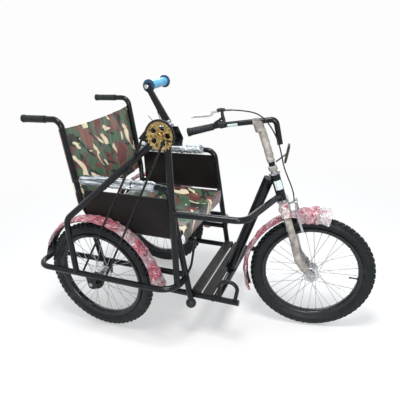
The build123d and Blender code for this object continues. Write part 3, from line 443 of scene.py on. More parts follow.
SEAT_REAR, SEAT_ROLL, SEAT_HALF, SEAT_DROP = -44.0, 372.0, 217.0, 40.0
ROLL_RADIUS, RAIL_WRAP, SEAT_SAG, SEAT_WAVE = CROSS + 4.5, TUBE + 1.2, 14.0, 1.7
seat_run = SEAT_ROLL - SEAT_REAR
seat_length = seat_run + ROLL_RADIUS * np.pi / 2 + SEAT_DROP
seat_width = 2 * (SEAT_HALF + TUBE * np.pi * 0.5)


def seat_cloth(back_to_front, out):
    """The seat sling by its arc lengths: it sags between the side rails as a raised cosine, folds a
    quarter turn down over each rail, and rolls a quarter turn over the front tube to hang free."""
    over = np.clip((back_to_front - seat_run) / ROLL_RADIUS, 0, np.pi / 2)
    fall = np.clip(back_to_front - seat_run - ROLL_RADIUS * np.pi / 2, 0, None)
    fold = np.clip((np.abs(out) - SEAT_HALF) / TUBE, 0, np.pi / 2)
    free = np.cos(np.pi / 2 * np.clip(np.abs(out) / SEAT_HALF, 0, 1)) ** 0.8
    sag = SEAT_SAG * free * np.sin(np.pi * np.clip(back_to_front / seat_run, 0, 1)) ** 0.7
    wave = SEAT_WAVE * ripples(back_to_front / 1000, out / 1000, 11) * free
    narrowed = 1 - 0.05 * np.clip(fall / SEAT_DROP, 0, 1)
    x = (SEAT_REAR + np.minimum(back_to_front, seat_run) + ROLL_RADIUS * np.sin(over) - 0.10 * fall
         + wave * (fall > 0))
    y = np.sign(out) * (np.minimum(np.abs(out), SEAT_HALF) + RAIL_WRAP * np.sin(fold)) * narrowed
    z = (SEAT_Z + TUBE + 2.0 - sag - ROLL_RADIUS * (1 - np.cos(over)) - fall
         - RAIL_WRAP * (1 - np.cos(fold)) + wave)
    return x, y, z


back_to_front = np.linspace(0, 1, 96)[:, None] * seat_length
out = np.linspace(-0.5, 0.5, 110)[None, :] * seat_width
seat = placed(stacked(*seat_cloth(back_to_front, out)))
seat_place = stacked(out / 1000 + 2.4, back_to_front / 1000 + 1.7)
seat_sling = build("seat_sling_cloth", [(seat, False, False, seat_place)], camouflage, "frame",
                   ["seat_sling"])
thicken(seat_sling, CLOTH)


# Hems and stitches: the slings' loose edges are rolled to a thin cord, and held by rows of lockstitch
# in dark thread beside the hems, the sleeves and the side rails.
def sleeve(line, radius, sides=40, flat=1.0, spare=(0.0, 1.0, 0.0)):
    """Rings of a radius, which may change along and round, square to a line; both ends closed."""
    way = unit(np.gradient(line, axis=0))
    first = unit(np.cross(way, spare))
    second = np.cross(way, first)
    turn = circle(sides)[None, :, None]
    radius = np.broadcast_to(radius, (len(line), sides))[..., None]
    grid = line[:, None] + radius * (np.cos(turn) * first[:, None] + flat * np.sin(turn) * second[:, None])
    return np.concatenate([np.repeat(line[:1, None], sides, 1), grid, np.repeat(line[-1:, None], sides, 1)])


HEM, HEM_SIDES = 0.0021, 10
hems = [(sleeve(edge, HEM, HEM_SIDES, spare=(0.1, 0.2, 1.0)), False, True,
         np.repeat(np.pad(flat, ((1, 1), (0, 0)), "edge")[:, None], HEM_SIDES, 1))
        for edge, flat in ((back[0], back_place[0]), (back[-1], back_place[-1]), (seat[-1], seat_place[-1]))]
build("sling_hems", hems, camouflage, "frame")


def stitches(line, normal, pitch=0.0052, length=0.0036, thread=0.00045):
    """Lockstitch along a line of cloth: short rounded bars at one pitch, standing out of both its faces."""
    walked = np.concatenate([[0.0], np.cumsum(np.linalg.norm(np.diff(line, axis=0), axis=1))])
    starts = np.arange(pitch, walked[-1] - pitch, pitch)
    at = starts[:, None] + np.linspace(0, length, 4)
    bars = np.stack([np.interp(at, walked, line[:, axis]) for axis in range(3)], -1)
    return [(sleeve(bar, thread * np.array([[0.6], [1.0], [1.0], [0.6]]), 6, 2.7, normal), False, True)
            for bar in bars]


def speckled(name, roughness, scale, stops, detail=4.0, grain=(), **look):
    """A finish of mottled colour, with relief where grain gives its scale, detail, depth and strength."""
    material, tree, shader, here = new_finish(name, roughness, **look)
    paint(tree, shader, noise(tree, here, scale, detail), stops)
    if grain:
        bump(tree, shader, noise(tree, here, *grain[:2]), *grain[2:])
    return material


thread = speckled("sewing_thread", 0.6, 90.0, [(0.3, (0.010, 0.016, 0.012)), (0.7, (0.05, 0.06, 0.045))],
                  shine=0.3)
FLAT_END = 84
seams = []
for line, normal in ((back[3], FORWARD), (back[-4], FORWARD), (back[:, 10], FORWARD), (back[:, -11], FORWARD),
                     (seat[:FLAT_END, 8], UP), (seat[:FLAT_END, -9], UP), (seat[-3], FORWARD)):
    seams += stitches(line, normal)
build("sling_stitches", seams, thread, "frame")

# Arm pads: foam tube round each arm, still in the crumpled clear film it came in, tied at its ends.
# The film is pulled in by its folds, and long bright streaks in its colour are painted highlights.
def wrinkled(tree, shader, here, folds, fine=()):
    """Relief of folds, with finer ones on them: scale, detail[, stretch, twist], then depth and strength."""
    coarse = bump(tree, shader, noise(tree, here, *folds[:4]), *folds[4:])
    if fine:
        bump(tree, shader, noise(tree, here, *fine[:2]), *fine[2:], coarse)


film, tree, shader, here = new_finish("clear_film", 0.16, metallic=0.2, coat=0.5)
# Painted highlights: the colour rises from dark film to near-white streaks that run along the arm.
paint(tree, shader, noise(tree, here, 52.0, 5.0, (0.22, 1.5, 1.5), 0.7),
      [(0.36, (0.035, 0.042, 0.05)), (0.46, (0.17, 0.20, 0.225)), (0.56, (0.40, 0.45, 0.48)),
       (0.68, (0.86, 0.88, 0.90))])
wrinkled(tree, shader, here, (60.0, 4.0, (0.3, 1.4, 1.4), 1.2, 0.003, 0.7), (190.0, 3.0, 0.0008, 0.5))

PAD_REAR, PAD_FRONT, PAD_RADIUS, PAD_BORE = -57.0, 292.0, 20.5, TUBE + 1.0
pad_turn = circle(64)[None, :]


def arm_pad(side):
    """A tube of film: at turn t round the arm its radius is the pad's, less two pinches, plus its folds."""
    run = np.linspace(0, 1, 220)[:, None]
    ends = np.clip(np.minimum(run, 1 - run) / 0.05, 0, 1) ** 0.5
    pinch = 1 - 0.10 * np.exp(-((run - 0.42) / 0.02) ** 2) - 0.12 * np.exp(-((run - 0.72) / 0.02) ** 2)
    fold = 1.5 * ripples(run * 0.35, pad_turn * 0.045, 21 + side, 14, (0.02, 0.09))
    radius = PAD_BORE + (PAD_RADIUS - PAD_BORE) * ends * pinch + fold * ends
    grid = stacked(PAD_REAR + (PAD_FRONT - PAD_REAR) * run, side * ARM_Y + radius * np.sin(pad_turn),
                   ARM_Z + radius * np.cos(pad_turn))
    start, end = [edge * FORWARD + [0, side * ARM_Y, ARM_Z] for edge in (grid[:1], grid[-1:])]
    return placed(np.concatenate([start, grid, end])), False, True


arm_pads = build("arm_pads_wrapped", [arm_pad(-1), arm_pad(1)], film, "frame", ["arm_pads"],
                 sharp=70.0)

# Ties: narrow black bands are pulled round each wrapped pad. Each is a thin ring that lies a little
# askew and presses into the film. The right pad has two and the left pad one.
tie_rubber = speckled("black_tie", 0.45, 90.0, [(0.3, (0.008, 0.008, 0.009)), (0.8, (0.022, 0.022, 0.024))],
                      shine=0.3)
bands = []
small = circle(10)[:, None]
for side, x_at in ((-1, 90.0), (-1, 195.0), (1, 120.0)):
    radius = PAD_RADIUS - 0.6 + 1.2 * np.cos(small)
    grid = stacked(x_at + 3.2 * np.sin(small) + 3 * np.sin(pad_turn),
                   side * ARM_Y + radius * np.sin(pad_turn), ARM_Z + radius * np.cos(pad_turn))
    bands.append((placed(grid), True, True))
build("pad_ties", bands, tie_rubber, "frame")

# Skirt panels: stiff black coated cloth under each arm, slightly bowed, its upper and lower edges
# bound with a grey piping and all four of them stitched.
vinyl, tree, shader, here = new_finish("black_vinyl", 0.46, shine=0.2)
paint(tree, shader, noise(tree, here, 9.0), [(0.3, (0.0040, 0.0034, 0.0034)), (0.75, (0.012, 0.010, 0.0095))])
soft = bump(tree, shader, noise(tree, here, 12.0, 2.0), 0.003, 0.4)
bump(tree, shader, noise(tree, here, 300.0, 3.0), 0.0003, 0.5, soft)
piping = speckled("grey_piping", 0.5, 80.0, [(0.35, (0.03, 0.03, 0.032)), (0.65, (0.11, 0.11, 0.115))])

PANEL_REAR, PANEL_DEPTH, PANEL_LENGTH, PANEL_WALL = -50.0, 172.0, 0.40, 0.0028
PIPING, PANEL_THREAD = 0.0019, 0.00055


def leg_line(height):
    """Where a front leg's centre lies ahead of the axle, in millimetres, at a height over the floor."""
    return 345.0 + 63.0 * (690.0 - height) / 492.0


def panel_sheet(side, top):
    """A panel from the arm down and back to front: its middle bows in by a sine both ways, with ripples."""
    down = np.linspace(0, 1, 60)[:, None]
    length = np.linspace(0, 1, 120)[None, :]
    z = top - PANEL_DEPTH * down
    x = PANEL_REAR + (leg_line(z) - TUBE - 0.6 - PANEL_REAR) * length
    bow = np.sin(np.pi * down) * np.sin(np.pi * length)
    y = side * (ARM_Y - 2.0 * bow) + 0.8 * ripples(down * 0.17, length * 0.4, 31 + side) * bow
    return placed(stacked(x, y, z))


edging = []
for side, name, top in ((-1, "right", 646.0), (1, "left", 664.0)):
    grid = panel_sheet(side, top)
    panel = build("skirt_panel_" + name, [(grid, False, False)], vinyl, "frame",
                  ["skirt_panels"])
    thicken(panel, PANEL_WALL)
    for edge in (grid[0], grid[-1]):
        edging.append((sleeve(edge, PIPING, 10, spare=(0.0, 0.3, 1.0)), False, True))
    for line in (grid[4], grid[-5], grid[:, 4], grid[:, -5]):
        edging += stitches(line, LEFT, thread=PANEL_THREAD)
build("panel_piping", edging, piping, "frame")


# Push grips: moulded black rubber sleeves with rings and a thick rounded end, pushed onto the ends
# of both back tubes.
def across_of(axis):
    """Two directions square to an axis and to each other."""
    axis = unit(axis)
    spare = np.array(UP, float) if abs(axis[2]) < 0.9 else np.array(FORWARD, float)
    first = unit(np.cross(axis, spare))
    return first, np.cross(axis, first)


def lathe(origin, axis, profile, sides=56, closed=False):
    """Rings about an axis: the profile holds pairs of distance along the axis and radius from it."""
    along, radius = np.asarray(profile, float).T
    first, second = across_of(axis)
    turn = circle(sides)[None, :, None]
    ring = np.cos(turn) * first + np.sin(turn) * second
    grid = np.asarray(origin) + along[:, None, None] * unit(axis) + radius[:, None, None] * ring
    return grid, closed, True


GRIP_WAIST, GRIP_RING, GRIP_COLLAR = 1.6, 0.7, 0.6


def ribbed_grip(length, radius, bore, rings, taper=0.0):
    """A sleeve's profile: a rounded end, then rings as a run of raised sines, then a bare collar."""
    run = np.linspace(0, 1, 40 + rings * 14)
    ringed = (run > 0.12) * (run < 0.86)
    height = radius - GRIP_WAIST + GRIP_RING * np.clip(np.sin(run * rings * 2 * np.pi), -0.4, 1) * ringed
    height += GRIP_WAIST * (run < 0.09) + GRIP_COLLAR * (run > 0.9) - taper * run
    body = np.stack([run * length + 0.6, height], 1)
    return np.vstack([[(0, 0), (0, radius * 0.7)], body, [(length + 0.6, bore), (length - 4, bore)]])


rubber = speckled("moulded_rubber", 0.5, 40.0, [(0.3, (0.005, 0.007, 0.008)), (0.7, (0.017, 0.021, 0.024))],
                  5.0, (700.0, 2.0, 0.0002, 0.6), shine=0.3)
PUSH_END, PUSH_Z, PUSH_GRIP = -301.0, 938.0, ribbed_grip(117, 16.0, TUBE, 11) / 1000
build("push_grip_sleeves", [lathe(placed((PUSH_END, side * ARM_Y, PUSH_Z)), FORWARD, PUSH_GRIP)
                            for side in (-1, 1)], rubber, "frame", ["push_grips"])

# Foot slats: ribbed pressed steel laid across the foot tubes and welded to them, its black paint
# scuffed pale along the ribs by shoes.
slat_paint, tree, shader, here = new_finish("slat_paint", 0.36, shine=0.35)
scuff = noise(tree, here, 75.0, 6.0, (0.6, 1.8, 1.0))
paint(tree, shader, scuff, [(0.35, (0.006, 0.006, 0.006)), (0.60, (0.018, 0.016, 0.015)),
                            (0.76, (0.13, 0.115, 0.10))])
ribs = add(tree, "TexWave", {"Vector": here, "Scale": 42.0, "Distortion": 0.4}, bands_direction="Y")
worn = bump(tree, shader, ribs.outputs["Fac"], 0.002, 0.8)
bump(tree, shader, scuff, 0.0004, 0.5, worn)
dress(slat_paint, "foot_slats")

# Ball foot: a turned rubber bulb pushed onto the stub under the right leg, its size and place from
# the frame. Its radius swells and falls by a fiftieth, as faint rings.
ball = np.array(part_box("ball_foot"))
ball_radius = (ball[1][0] - ball[0][0]) / 2
polar = np.linspace(0, np.pi, 48)
profile = np.stack([-np.cos(polar), np.sin(polar) * (1 + 0.02 * np.sin(polar * 22))], 1) * ball_radius
build("ball_foot_bulb", [lathe(ball.mean(axis=0), UP, profile)], rubber, "frame",
      ["ball_foot"])

# Tyres: fat knobby tyres on all three wheels, with blocks in a crown row, a staggered row on either
# side of it and shoulder lugs. Their moulded rubber is charcoal, dusty in patches and glossier in others.
tread, tree, shader, here = new_finish("tyre_rubber", 0.5, shine=0.24)
paint(tree, shader, noise(tree, here, 30.0, 6.0),
      [(0.3, (0.004, 0.006, 0.007)), (0.62, (0.009, 0.012, 0.014)), (0.8, (0.034, 0.034, 0.033))])
worn_gloss(tree, shader, noise(tree, here, 18.0), 0.28, 0.6)
bump(tree, shader, noise(tree, here, 380.0, 3.0), 0.0005, 0.5)

TYRE_MIDDLE, TYRE_SMALL, TYRE_BEAD, KNOBS, KNOB_HEIGHT = 0.230, 0.0268, 0.2015, 60, 0.0055
# Each row of blocks on one side: its edges in degrees from the crown, its phase, and how much it fills.
KNOB_ROWS = ((-1, 13, 0.0, 0.15), (19, 35, np.pi, 0.1), (42, 60, 0.4, 0.25))


def step(value, edge, soft):
    """Nought below an edge and one above it, with a soft rise between."""
    share = np.clip((value - edge) / soft, 0, 1)
    return share * share * (3 - 2 * share)


def hub_of(joint):
    """A wheel's middle and the way of its axle."""
    return np.array(joints[joint]["pos_m"]), unit(joints[joint]["axis"])


def about(centre, axis, first, second, turn, across, radius):
    """Points at a turn and a radius about an axle, and at a distance along it."""
    spin = np.cos(turn)[..., None] * first + np.sin(turn)[..., None] * second
    return centre + across[..., None] * axis + radius[..., None] * spin


def tyre(joint):
    """A circle of radius TYRE_SMALL carried round TYRE_MIDDLE; blocks stand where two waves meet."""
    centre, axis = hub_of(joint)
    turn = circle(KNOBS * 9)[:, None]
    lean = np.radians(np.linspace(-128, 128, 52))[None, :]
    degrees = np.degrees(np.abs(lean))
    blocks = np.zeros(np.broadcast(turn, lean).shape)
    for low, high, phase, fill in KNOB_ROWS:
        wave = step(np.cos(KNOBS * turn + phase + lean * 0.9), -fill, 0.35)
        window = step(degrees, low, 3) * (1 - step(degrees, high, 3))
        blocks = np.maximum(blocks, wave * window)
    rib = 0.0006 * np.exp(-((degrees - 92) / 3) ** 2) + 0.0008 * np.exp(-((degrees - 112) / 3) ** 2)
    small = TYRE_SMALL - KNOB_HEIGHT * 0.94 + KNOB_HEIGHT * blocks + rib
    radius = TYRE_MIDDLE + small * np.cos(lean) * (1 - 0.10 * step(degrees, 40, 60))
    across = small * np.sin(lean)
    bead = np.concatenate([across[:, -1:] * 0.62, across[:, :1] * 0.62], 1)
    radius = np.concatenate([radius, np.full_like(bead, TYRE_BEAD)], 1)
    across = np.concatenate([across, bead], 1)
    return about(centre, axis, *across_of(axis), turn, across, radius), True, True


# Each wheel: its joint, its body, its hub's right and left ends along the axle, and the least radius of
# the right one, which is thicker where the freewheel is screwed on. Millimetres.
WHEELS = {"rear_right": ("right_wheel_spin", "right_wheel", -57.0, 49.0, 16.9),
          "rear_left": ("left_wheel_spin", "left_wheel", -49.0, 49.5, 0.0),
          "front": ("front_wheel_spin", "front_wheel", -42.0, 42.0, 0.0)}
for name, (joint, body, *_) in WHEELS.items():
    build("tyre_knobby_" + name, [tyre(joint)], tread, body, ["tyre_" + name], sharp=50.0)


# Wheels: black rolled rims with a hook on either side, thirty-six plated spokes laced to lean forward
# and back in turn, screwed into nipples, and hubs of turned and polished steel with pressed flanges.
def wire(start, end, radius, sides=7):
    """A straight round wire, each end closed by a ring of no size."""
    length = np.linalg.norm(end - start)
    return lathe(start, end - start, [(0, 0), (0, radius), (length, radius), (length, 0)], sides)


rim_black = speckled("rim_black", 0.26, 60.0, [(0.4, (0.004, 0.005, 0.006)), (0.75, (0.016, 0.018, 0.020))],
                     5.0, (300.0, 4.0, 0.0002, 0.3), shine=0.4)
plated = speckled("plated_wire", 0.28, 120.0, [(0.3, (0.22, 0.23, 0.24)), (0.7, (0.55, 0.56, 0.58))],
                  metallic=0.9)
polished, tree, shader, here = new_finish("polished_steel", 0.2, metallic=1.0)
turned = noise(tree, here, 160.0, 3.0, (1.0, 3.0, 1.0))
paint(tree, shader, turned, [(0.3, (0.38, 0.39, 0.40)), (0.7, (0.72, 0.73, 0.74))])
worn_gloss(tree, shader, turned, 0.14, 0.36)
bump(tree, shader, turned, 0.0002, 0.3)

# Half of a rim's and a hub's section, by distance along the axle and radius; the rest is its mirror.
RIM_OUTER = [(0, 194), (9, 195), (14.2, 198), (14.6, 205.5), (15.6, 207), (17, 206)]
RIM_INNER = [(17, 198), (14, 194), (10, 190.6), (5, 189.2), (0, 188.8)]
HUB_HALF = [(12, 15.5), (21, 16.5), (25, 19), (26, 31), (27, 32), (29, 32), (30, 31), (31, 14), (34, 12)]
HUB_END, HUB_BORE = 9.0, 5.3
VALVE = np.array([(0, 4.4), (3, 4.4), (3.5, 2.9), (24, 2.9), (24.5, 3.6), (33, 3.6), (34, 0)]) / 1000
SPOKES, SPOKE_LEAD, SPOKE_RADIUS, NIPPLE_RADIUS = 36, np.radians(38.0), 0.0011, 0.0021
FLANGE_RADIUS, FLANGE_AT, CROSSING, SPOKE_END, RIM_HOLE = 0.027, 0.028, 0.0014, 0.191, 0.002
VALVE_TURN, VALVE_FOOT = 0.087, 0.189


def mirrored(half):
    """The same section on the other side of the wheel's middle, walked the other way."""
    return [(-along, radius) for along, radius in half[::-1]]


rim = np.array(mirrored(RIM_OUTER)[:-1] + RIM_OUTER + RIM_INNER + mirrored(RIM_INNER)[1:]) / 1000
for name, (joint, body, low, high, least) in WHEELS.items():
    centre, axis = hub_of(joint)
    first, second = across_of(axis)
    build("rim_" + name, [lathe(centre, axis, rim, 180, True)], rim_black, body,
          ["wheel_" + name])
    wires, nipples = [], []
    for number in range(SPOKES):
        flange, lead = (1 if number % 2 else -1), (1 if (number // 2) % 2 else -1)
        rim_turn = 2 * np.pi / SPOKES * number
        hub_turn = rim_turn + SPOKE_LEAD * lead
        rim_way = np.cos(rim_turn) * first + np.sin(rim_turn) * second
        hub_way = np.cos(hub_turn) * first + np.sin(hub_turn) * second
        start = centre + hub_way * FLANGE_RADIUS + axis * flange * (FLANGE_AT + CROSSING * lead)
        end = centre + rim_way * SPOKE_END + axis * flange * RIM_HOLE
        wires.append(wire(start, end, SPOKE_RADIUS))
        inward = unit(start - end)
        nipples.append(wire(end - inward * 0.001, end + inward * 0.013, NIPPLE_RADIUS, 6))
    build("spokes_" + name, wires, plated, body, ["wheel_" + name])
    rim_way = np.cos(VALVE_TURN) * first + np.sin(VALVE_TURN) * second
    build("valve_" + name, [lathe(centre + rim_way * VALVE_FOOT, -rim_way, VALVE, 20)], rubber, body)
    build("nipples_" + name, nipples, polished, body, ["wheel_" + name])
    hub = [(low, HUB_BORE), (low, HUB_END), *mirrored(HUB_HALF), *HUB_HALF, (high, HUB_END), (high, HUB_BORE)]
    hub = [(along, max(radius, least) if along < -31 else radius) for along, radius in hub]
    build("hub_" + name, [lathe(centre, axis, np.array(hub) / 1000, 64, True)], polished, body,
          ["wheel_" + name])
dress(plated, "rear_axles", "front_axle", "headset_cups")

# Fenders: pressed black steel, still wrapped in the printed plastic film they were shipped in. The
# film is clear with a red and pink flower print in blocks, crumpled, and tucked under at both edges.
dress(enamel, "fender_right", "fender_left", "front_fender")
print_film, tree, shader, here = new_finish("printed_film", 0.2, coat=0.2)
place = add(tree, "Attribute", attribute_name="place").outputs["Vector"]
CRIMSON, PINK, BLUSH = (0.27, 0.008, 0.036), (0.44, 0.065, 0.12), (0.58, 0.33, 0.37)
FOLD_SHADE, FOLD_GLINT = (0.10, 0.035, 0.045), (0.80, 0.76, 0.77)
swirl = add(tree, "Mapping", {"Vector": place, "Scale": (1.0, 1.25, 1.0)}).outputs[0]
rosettes = add(tree, "TexVoronoi", {"Vector": swirl, "Scale": 44.0, "Randomness": 0.55}, feature="F1")
petals = add(tree, "TexVoronoi", {"Vector": swirl, "Scale": 120.0, "Randomness": 1.0},
             feature="DISTANCE_TO_EDGE").outputs["Distance"]
flowers = ramp(tree, rosettes.outputs["Distance"], [(0.0, BLUSH), (0.15, BLUSH), (0.21, CRIMSON),
                                                    (0.55, CRIMSON), (0.72, PINK)])
flowers = overlay(tree, passed(tree, petals, 0.02, 0.075), BLUSH, flowers)
pale = ramp(tree, petals, [(0.0, (0.30, 0.06, 0.10)), (0.05, (0.38, 0.16, 0.20)), (0.10, (0.33, 0.28, 0.29)),
                           (0.6, (0.42, 0.38, 0.38))])
blocks = noise(tree, place, 9.0, 1.0, (1.0, 0.25, 1.0))
printed = overlay(tree, passed(tree, blocks, 0.44, 0.50), pale, flowers)
glint = noise(tree, here, 50.0, 5.0, EVEN, 1.5)
printed = overlay(tree, passed(tree, glint, 0.56, 0.70, 0.75), printed, FOLD_GLINT)
printed = overlay(tree, passed(tree, glint, 0.30, 0.48), FOLD_SHADE, printed)
tree.links.new(printed, shader.inputs["Base Color"])
wrinkled(tree, shader, here, (46.0, 4.0, EVEN, 2.2, 0.004, 0.8), (150.0, 3.0, 0.001, 0.5))

clear_end, tree, shader, here = new_finish("clear_loose_film", 0.14, coat=0.5)
shader.inputs["Transmission Weight"].default_value = 0.55
shader.inputs["IOR"].default_value = 1.3
paint(tree, shader, noise(tree, here, 44.0, 4.0, EVEN, 1.5),
      [(0.34, (0.72, 0.30, 0.40)), (0.46, (0.86, 0.78, 0.81)), (0.6, (0.95, 0.95, 0.95))])
wrinkled(tree, shader, here, (70.0, 4.0, EVEN, 2.2, 0.004, 0.7))

# Sizes over a fender: the film's radius at its crown, half its width, how far its edge falls, how far the
# tuck falls and draws in, and how far a flared end stands off and out. Then the loose bag's. Metres.
FENDER_RADIUS, FILM_WALL, FILM_FOLDS, CRUMPLE = 0.284, 0.0006, (0.016, 0.07), 0.0016
CROWN_RADIUS, FILM_HALF, EDGE_FALL, TUCK_FALL, TUCK_IN = 0.2876, 0.0326, 0.0095, 0.0075, 0.0065
FLARE_OFF, FLARE_OUT, TUCK_FROM = 0.024, 0.018, 0.78
BAG_FOOT, BAG_HALF, BAG_RISE = 0.2580, 0.0375, 0.0325


def fender_ways(joint):
    """An axle's middle and way, with the two ways square to it that lie forward and upward."""
    centre, axis = hub_of(joint)
    forward = unit(np.cross(axis, UP))
    return centre, axis, forward, np.cross(forward, axis)


def film_wrap(joint, start, end, seed, outward, flare):
    """Film over a fender: an arc about the axle whose section is a crown with both edges tucked under.

    Across the fender v runs from -1 to 1; the radius falls as v squared, then the last fifth curls in.
    A flared start stands off and out by a power of how near its end is."""
    turn = np.radians(np.linspace(start, end, 340))[:, None]
    v = np.linspace(-1, 1, 60)[None, :]
    flat = np.clip(np.abs(v) / TUCK_FROM, 0, 1)
    tuck = np.clip((np.abs(v) - TUCK_FROM) / (1 - TUCK_FROM), 0, 1)
    crumple = ripples(turn * FENDER_RADIUS, v * 0.045, seed, 16, FILM_FOLDS)
    loose = np.clip(1 - np.abs(turn - turn[0]) / 0.55, 0, 1) ** 1.5 * flare
    radius = (CROWN_RADIUS - EDGE_FALL * flat ** 2 - TUCK_FALL * tuck
              + CRUMPLE * crumple * (1 + loose) * (1 - 0.6 * tuck) + FLARE_OFF * loose * (1 - 0.9 * tuck))
    across = (np.sign(v) * (FILM_HALF * flat - TUCK_IN * tuck ** 2) * (1 + 0.010 * crumple)
              + FLARE_OUT * loose * outward * np.clip(v * outward + 0.3, 0, 1))
    grid = about(*fender_ways(joint), turn, across, radius)
    return grid, False, False, stacked(turn * FENDER_RADIUS + seed, v * 0.05)


def loose_end(joint, start, end, seed):
    """A baggy end of film over the front fender: a deep arch of half-width 38 and depth 33 mm round it.

    Across it v runs from -1 to 1 and turns a superellipse's upper half, open below over the tyre."""
    turn = np.radians(np.linspace(start, end, 150))[:, None]
    v = np.linspace(-1, 1, 90)[None, :]
    across, upward = [np.sign(part) * np.abs(part) ** 0.6 for part in (np.sin(v * np.pi * 0.66),
                                                                       np.cos(v * np.pi * 0.66))]
    crumple = CRUMPLE * ripples(turn * 0.28, v * 0.11, seed, 18, FILM_FOLDS)
    near_start, near_end = [np.clip(1 - np.abs(turn - edge) / 0.10, 0, 1) for edge in (turn[0], turn[-1])]
    mouth = 1 + 0.12 * near_start - 0.14 * near_end
    grid = about(*fender_ways(joint), turn, (BAG_HALF * mouth + crumple) * across,
                 BAG_FOOT + (BAG_RISE * mouth + crumple) * upward)
    return grid, False, False, stacked(turn * FENDER_RADIUS + seed, v * 0.09)


FILMS = [("right", "frame", print_film, film_wrap("right_wheel_spin", 1.0, 152.0, 3, -1, 1.0)),
         ("left", "frame", print_film, film_wrap("left_wheel_spin", 1.0, 152.0, 4, 1, 1.0)),
         ("front", "steering", print_film, film_wrap("front_wheel_spin", 96.0, 201.0, 6, 1, 0.0)),
         ("front_bag", "steering", print_film, loose_end("front_wheel_spin", 87.0, 106.0, 8)),
         ("front_end", "steering", clear_end, loose_end("front_wheel_spin", 77.0, 90.0, 9))]
for name, body, finish, sheet in FILMS:
    thicken(build("film_" + name, [sheet], finish, body, sharp=80.0), FILM_WALL)

# Front sprocket and freewheel: stamped steel. The sprocket has a gold zinc finish with oil worked into
# it, and the freewheel is bare steel gone dark with oil.
gold, tree, shader, here = new_finish("gold_zinc", 0.34, metallic=0.95)
oil = noise(tree, here, 90.0, 5.0, EVEN, 1.0)
paint(tree, shader, oil,
      [(0.32, (0.060, 0.042, 0.016)), (0.50, (0.33, 0.225, 0.085)), (0.70, (0.68, 0.52, 0.24))])
worn_gloss(tree, shader, oil, 0.5, 0.2)
bump(tree, shader, oil, 0.0003, 0.5)
dress(gold, "crank_sprocket")
dark_steel = speckled("oiled_steel", 0.34, 140.0,
                      [(0.3, (0.006, 0.006, 0.006)), (0.7, (0.040, 0.038, 0.036))], metallic=0.6, shine=0.3)
dress(dark_steel, "freewheel")

# Chain: roller chain at half-inch pitch round both sprockets. Each link is two waisted side plates
# riveted over rollers, the plates of every second link set further out.
PITCH, BIG_TEETH, SMALL_TEETH, CHAIN_Y = 12.7, 26, 18, -352.0
big, small = [PITCH / (2 * np.sin(np.pi / teeth)) for teeth in (BIG_TEETH, SMALL_TEETH)]
CRANK_X, CRANK_Z, AXLE_Z = 372.0, 914.0, 257.0
crank_at, wheel_at = np.array([CRANK_X, CRANK_Z]), np.array([0.0, AXLE_Z])
apart = np.linalg.norm(crank_at - wheel_at)
heading = np.arctan2(*(crank_at - wheel_at)[::-1])
splay = np.arccos((big - small) / apart)
straight = np.sqrt(apart ** 2 - (big - small) ** 2)
lengths = np.cumsum([0, straight, big * 2 * splay, straight, small * (2 * np.pi - 2 * splay)])
links = int(round(lengths[-1] / PITCH))


def heading_at(turn):
    """The direction at a turn in the chain's plane, as forward and up."""
    return stacked(np.cos(turn), np.sin(turn))


def chain_point(distance):
    """The loop by its length: straight, round the large sprocket, straight back, round the small one."""
    along = distance[:, None]
    out = wheel_at + small * heading_at(heading - splay) + along * heading_at(heading - splay + np.pi / 2)
    over = crank_at + big * heading_at(heading - splay + (distance - lengths[1]) / big)
    home = (crank_at + big * heading_at(heading + splay)
            + (along - lengths[2]) * heading_at(heading + splay + np.pi / 2))
    under = wheel_at + small * heading_at(heading + splay + (distance - lengths[3]) / small)
    part = np.searchsorted(lengths[1:], distance, side="right")[:, None]
    return np.where(part == 0, out, np.where(part == 1, over, np.where(part == 2, home, under)))


# A link's plate by half its length, half its height and how much its waist draws in; its two faces
# inside and outside, for narrow and wide links; and a roller on its pin. Millimetres.
PLATE_HALF, PLATE_RISE, PLATE_WAIST, PLATE_WALL, NARROW, WIDE = 10.6, 4.3, 0.16, 1.0, 1.6, 2.7
ROLLER = [(0, 0), (0, 2.6), (1.6, 2.6), (1.6, 3.9), (5.6, 3.9), (5.6, 2.6), (7.2, 2.6), (7.2, 0)]
ROLLER_HALF = 3.6
turn = circle(20)[:, None]
plate_long = np.cos(turn) * PLATE_HALF * (1 - 0.06 * np.sin(turn) ** 2)
plate_high = np.sin(turn) * PLATE_RISE * (1 - PLATE_WAIST * np.abs(np.sin(turn)) ** 3)
pins = chain_point(np.arange(links) * lengths[-1] / links)
chain_sheets = []
for number, (start, end) in enumerate(zip(pins, np.roll(pins, -1, 0))):
    way = unit(end - start)
    outline = plate_long * way + plate_high * [-way[1], way[0]]
    for face in (-1, 1):
        inner = CHAIN_Y + face * (NARROW if number % 2 else WIDE)
        outer = inner + face * PLATE_WALL
        rings = []
        for y_at, grow in ((inner, 0), (inner, 1), (outer, 1), (outer, 0)):
            ring = (start + end) / 2 + outline * grow
            rings.append(stacked(ring[:, 0], y_at, ring[:, 1]))
        chain_sheets.append((placed(np.array(rings)), False, True))
    pin_foot = placed((start[0], CHAIN_Y - ROLLER_HALF, start[1]))
    chain_sheets.append(lathe(pin_foot, LEFT, np.array(ROLLER) / 1000, 10))
build("roller_chain", chain_sheets, dark_steel, "frame", ["chain"])

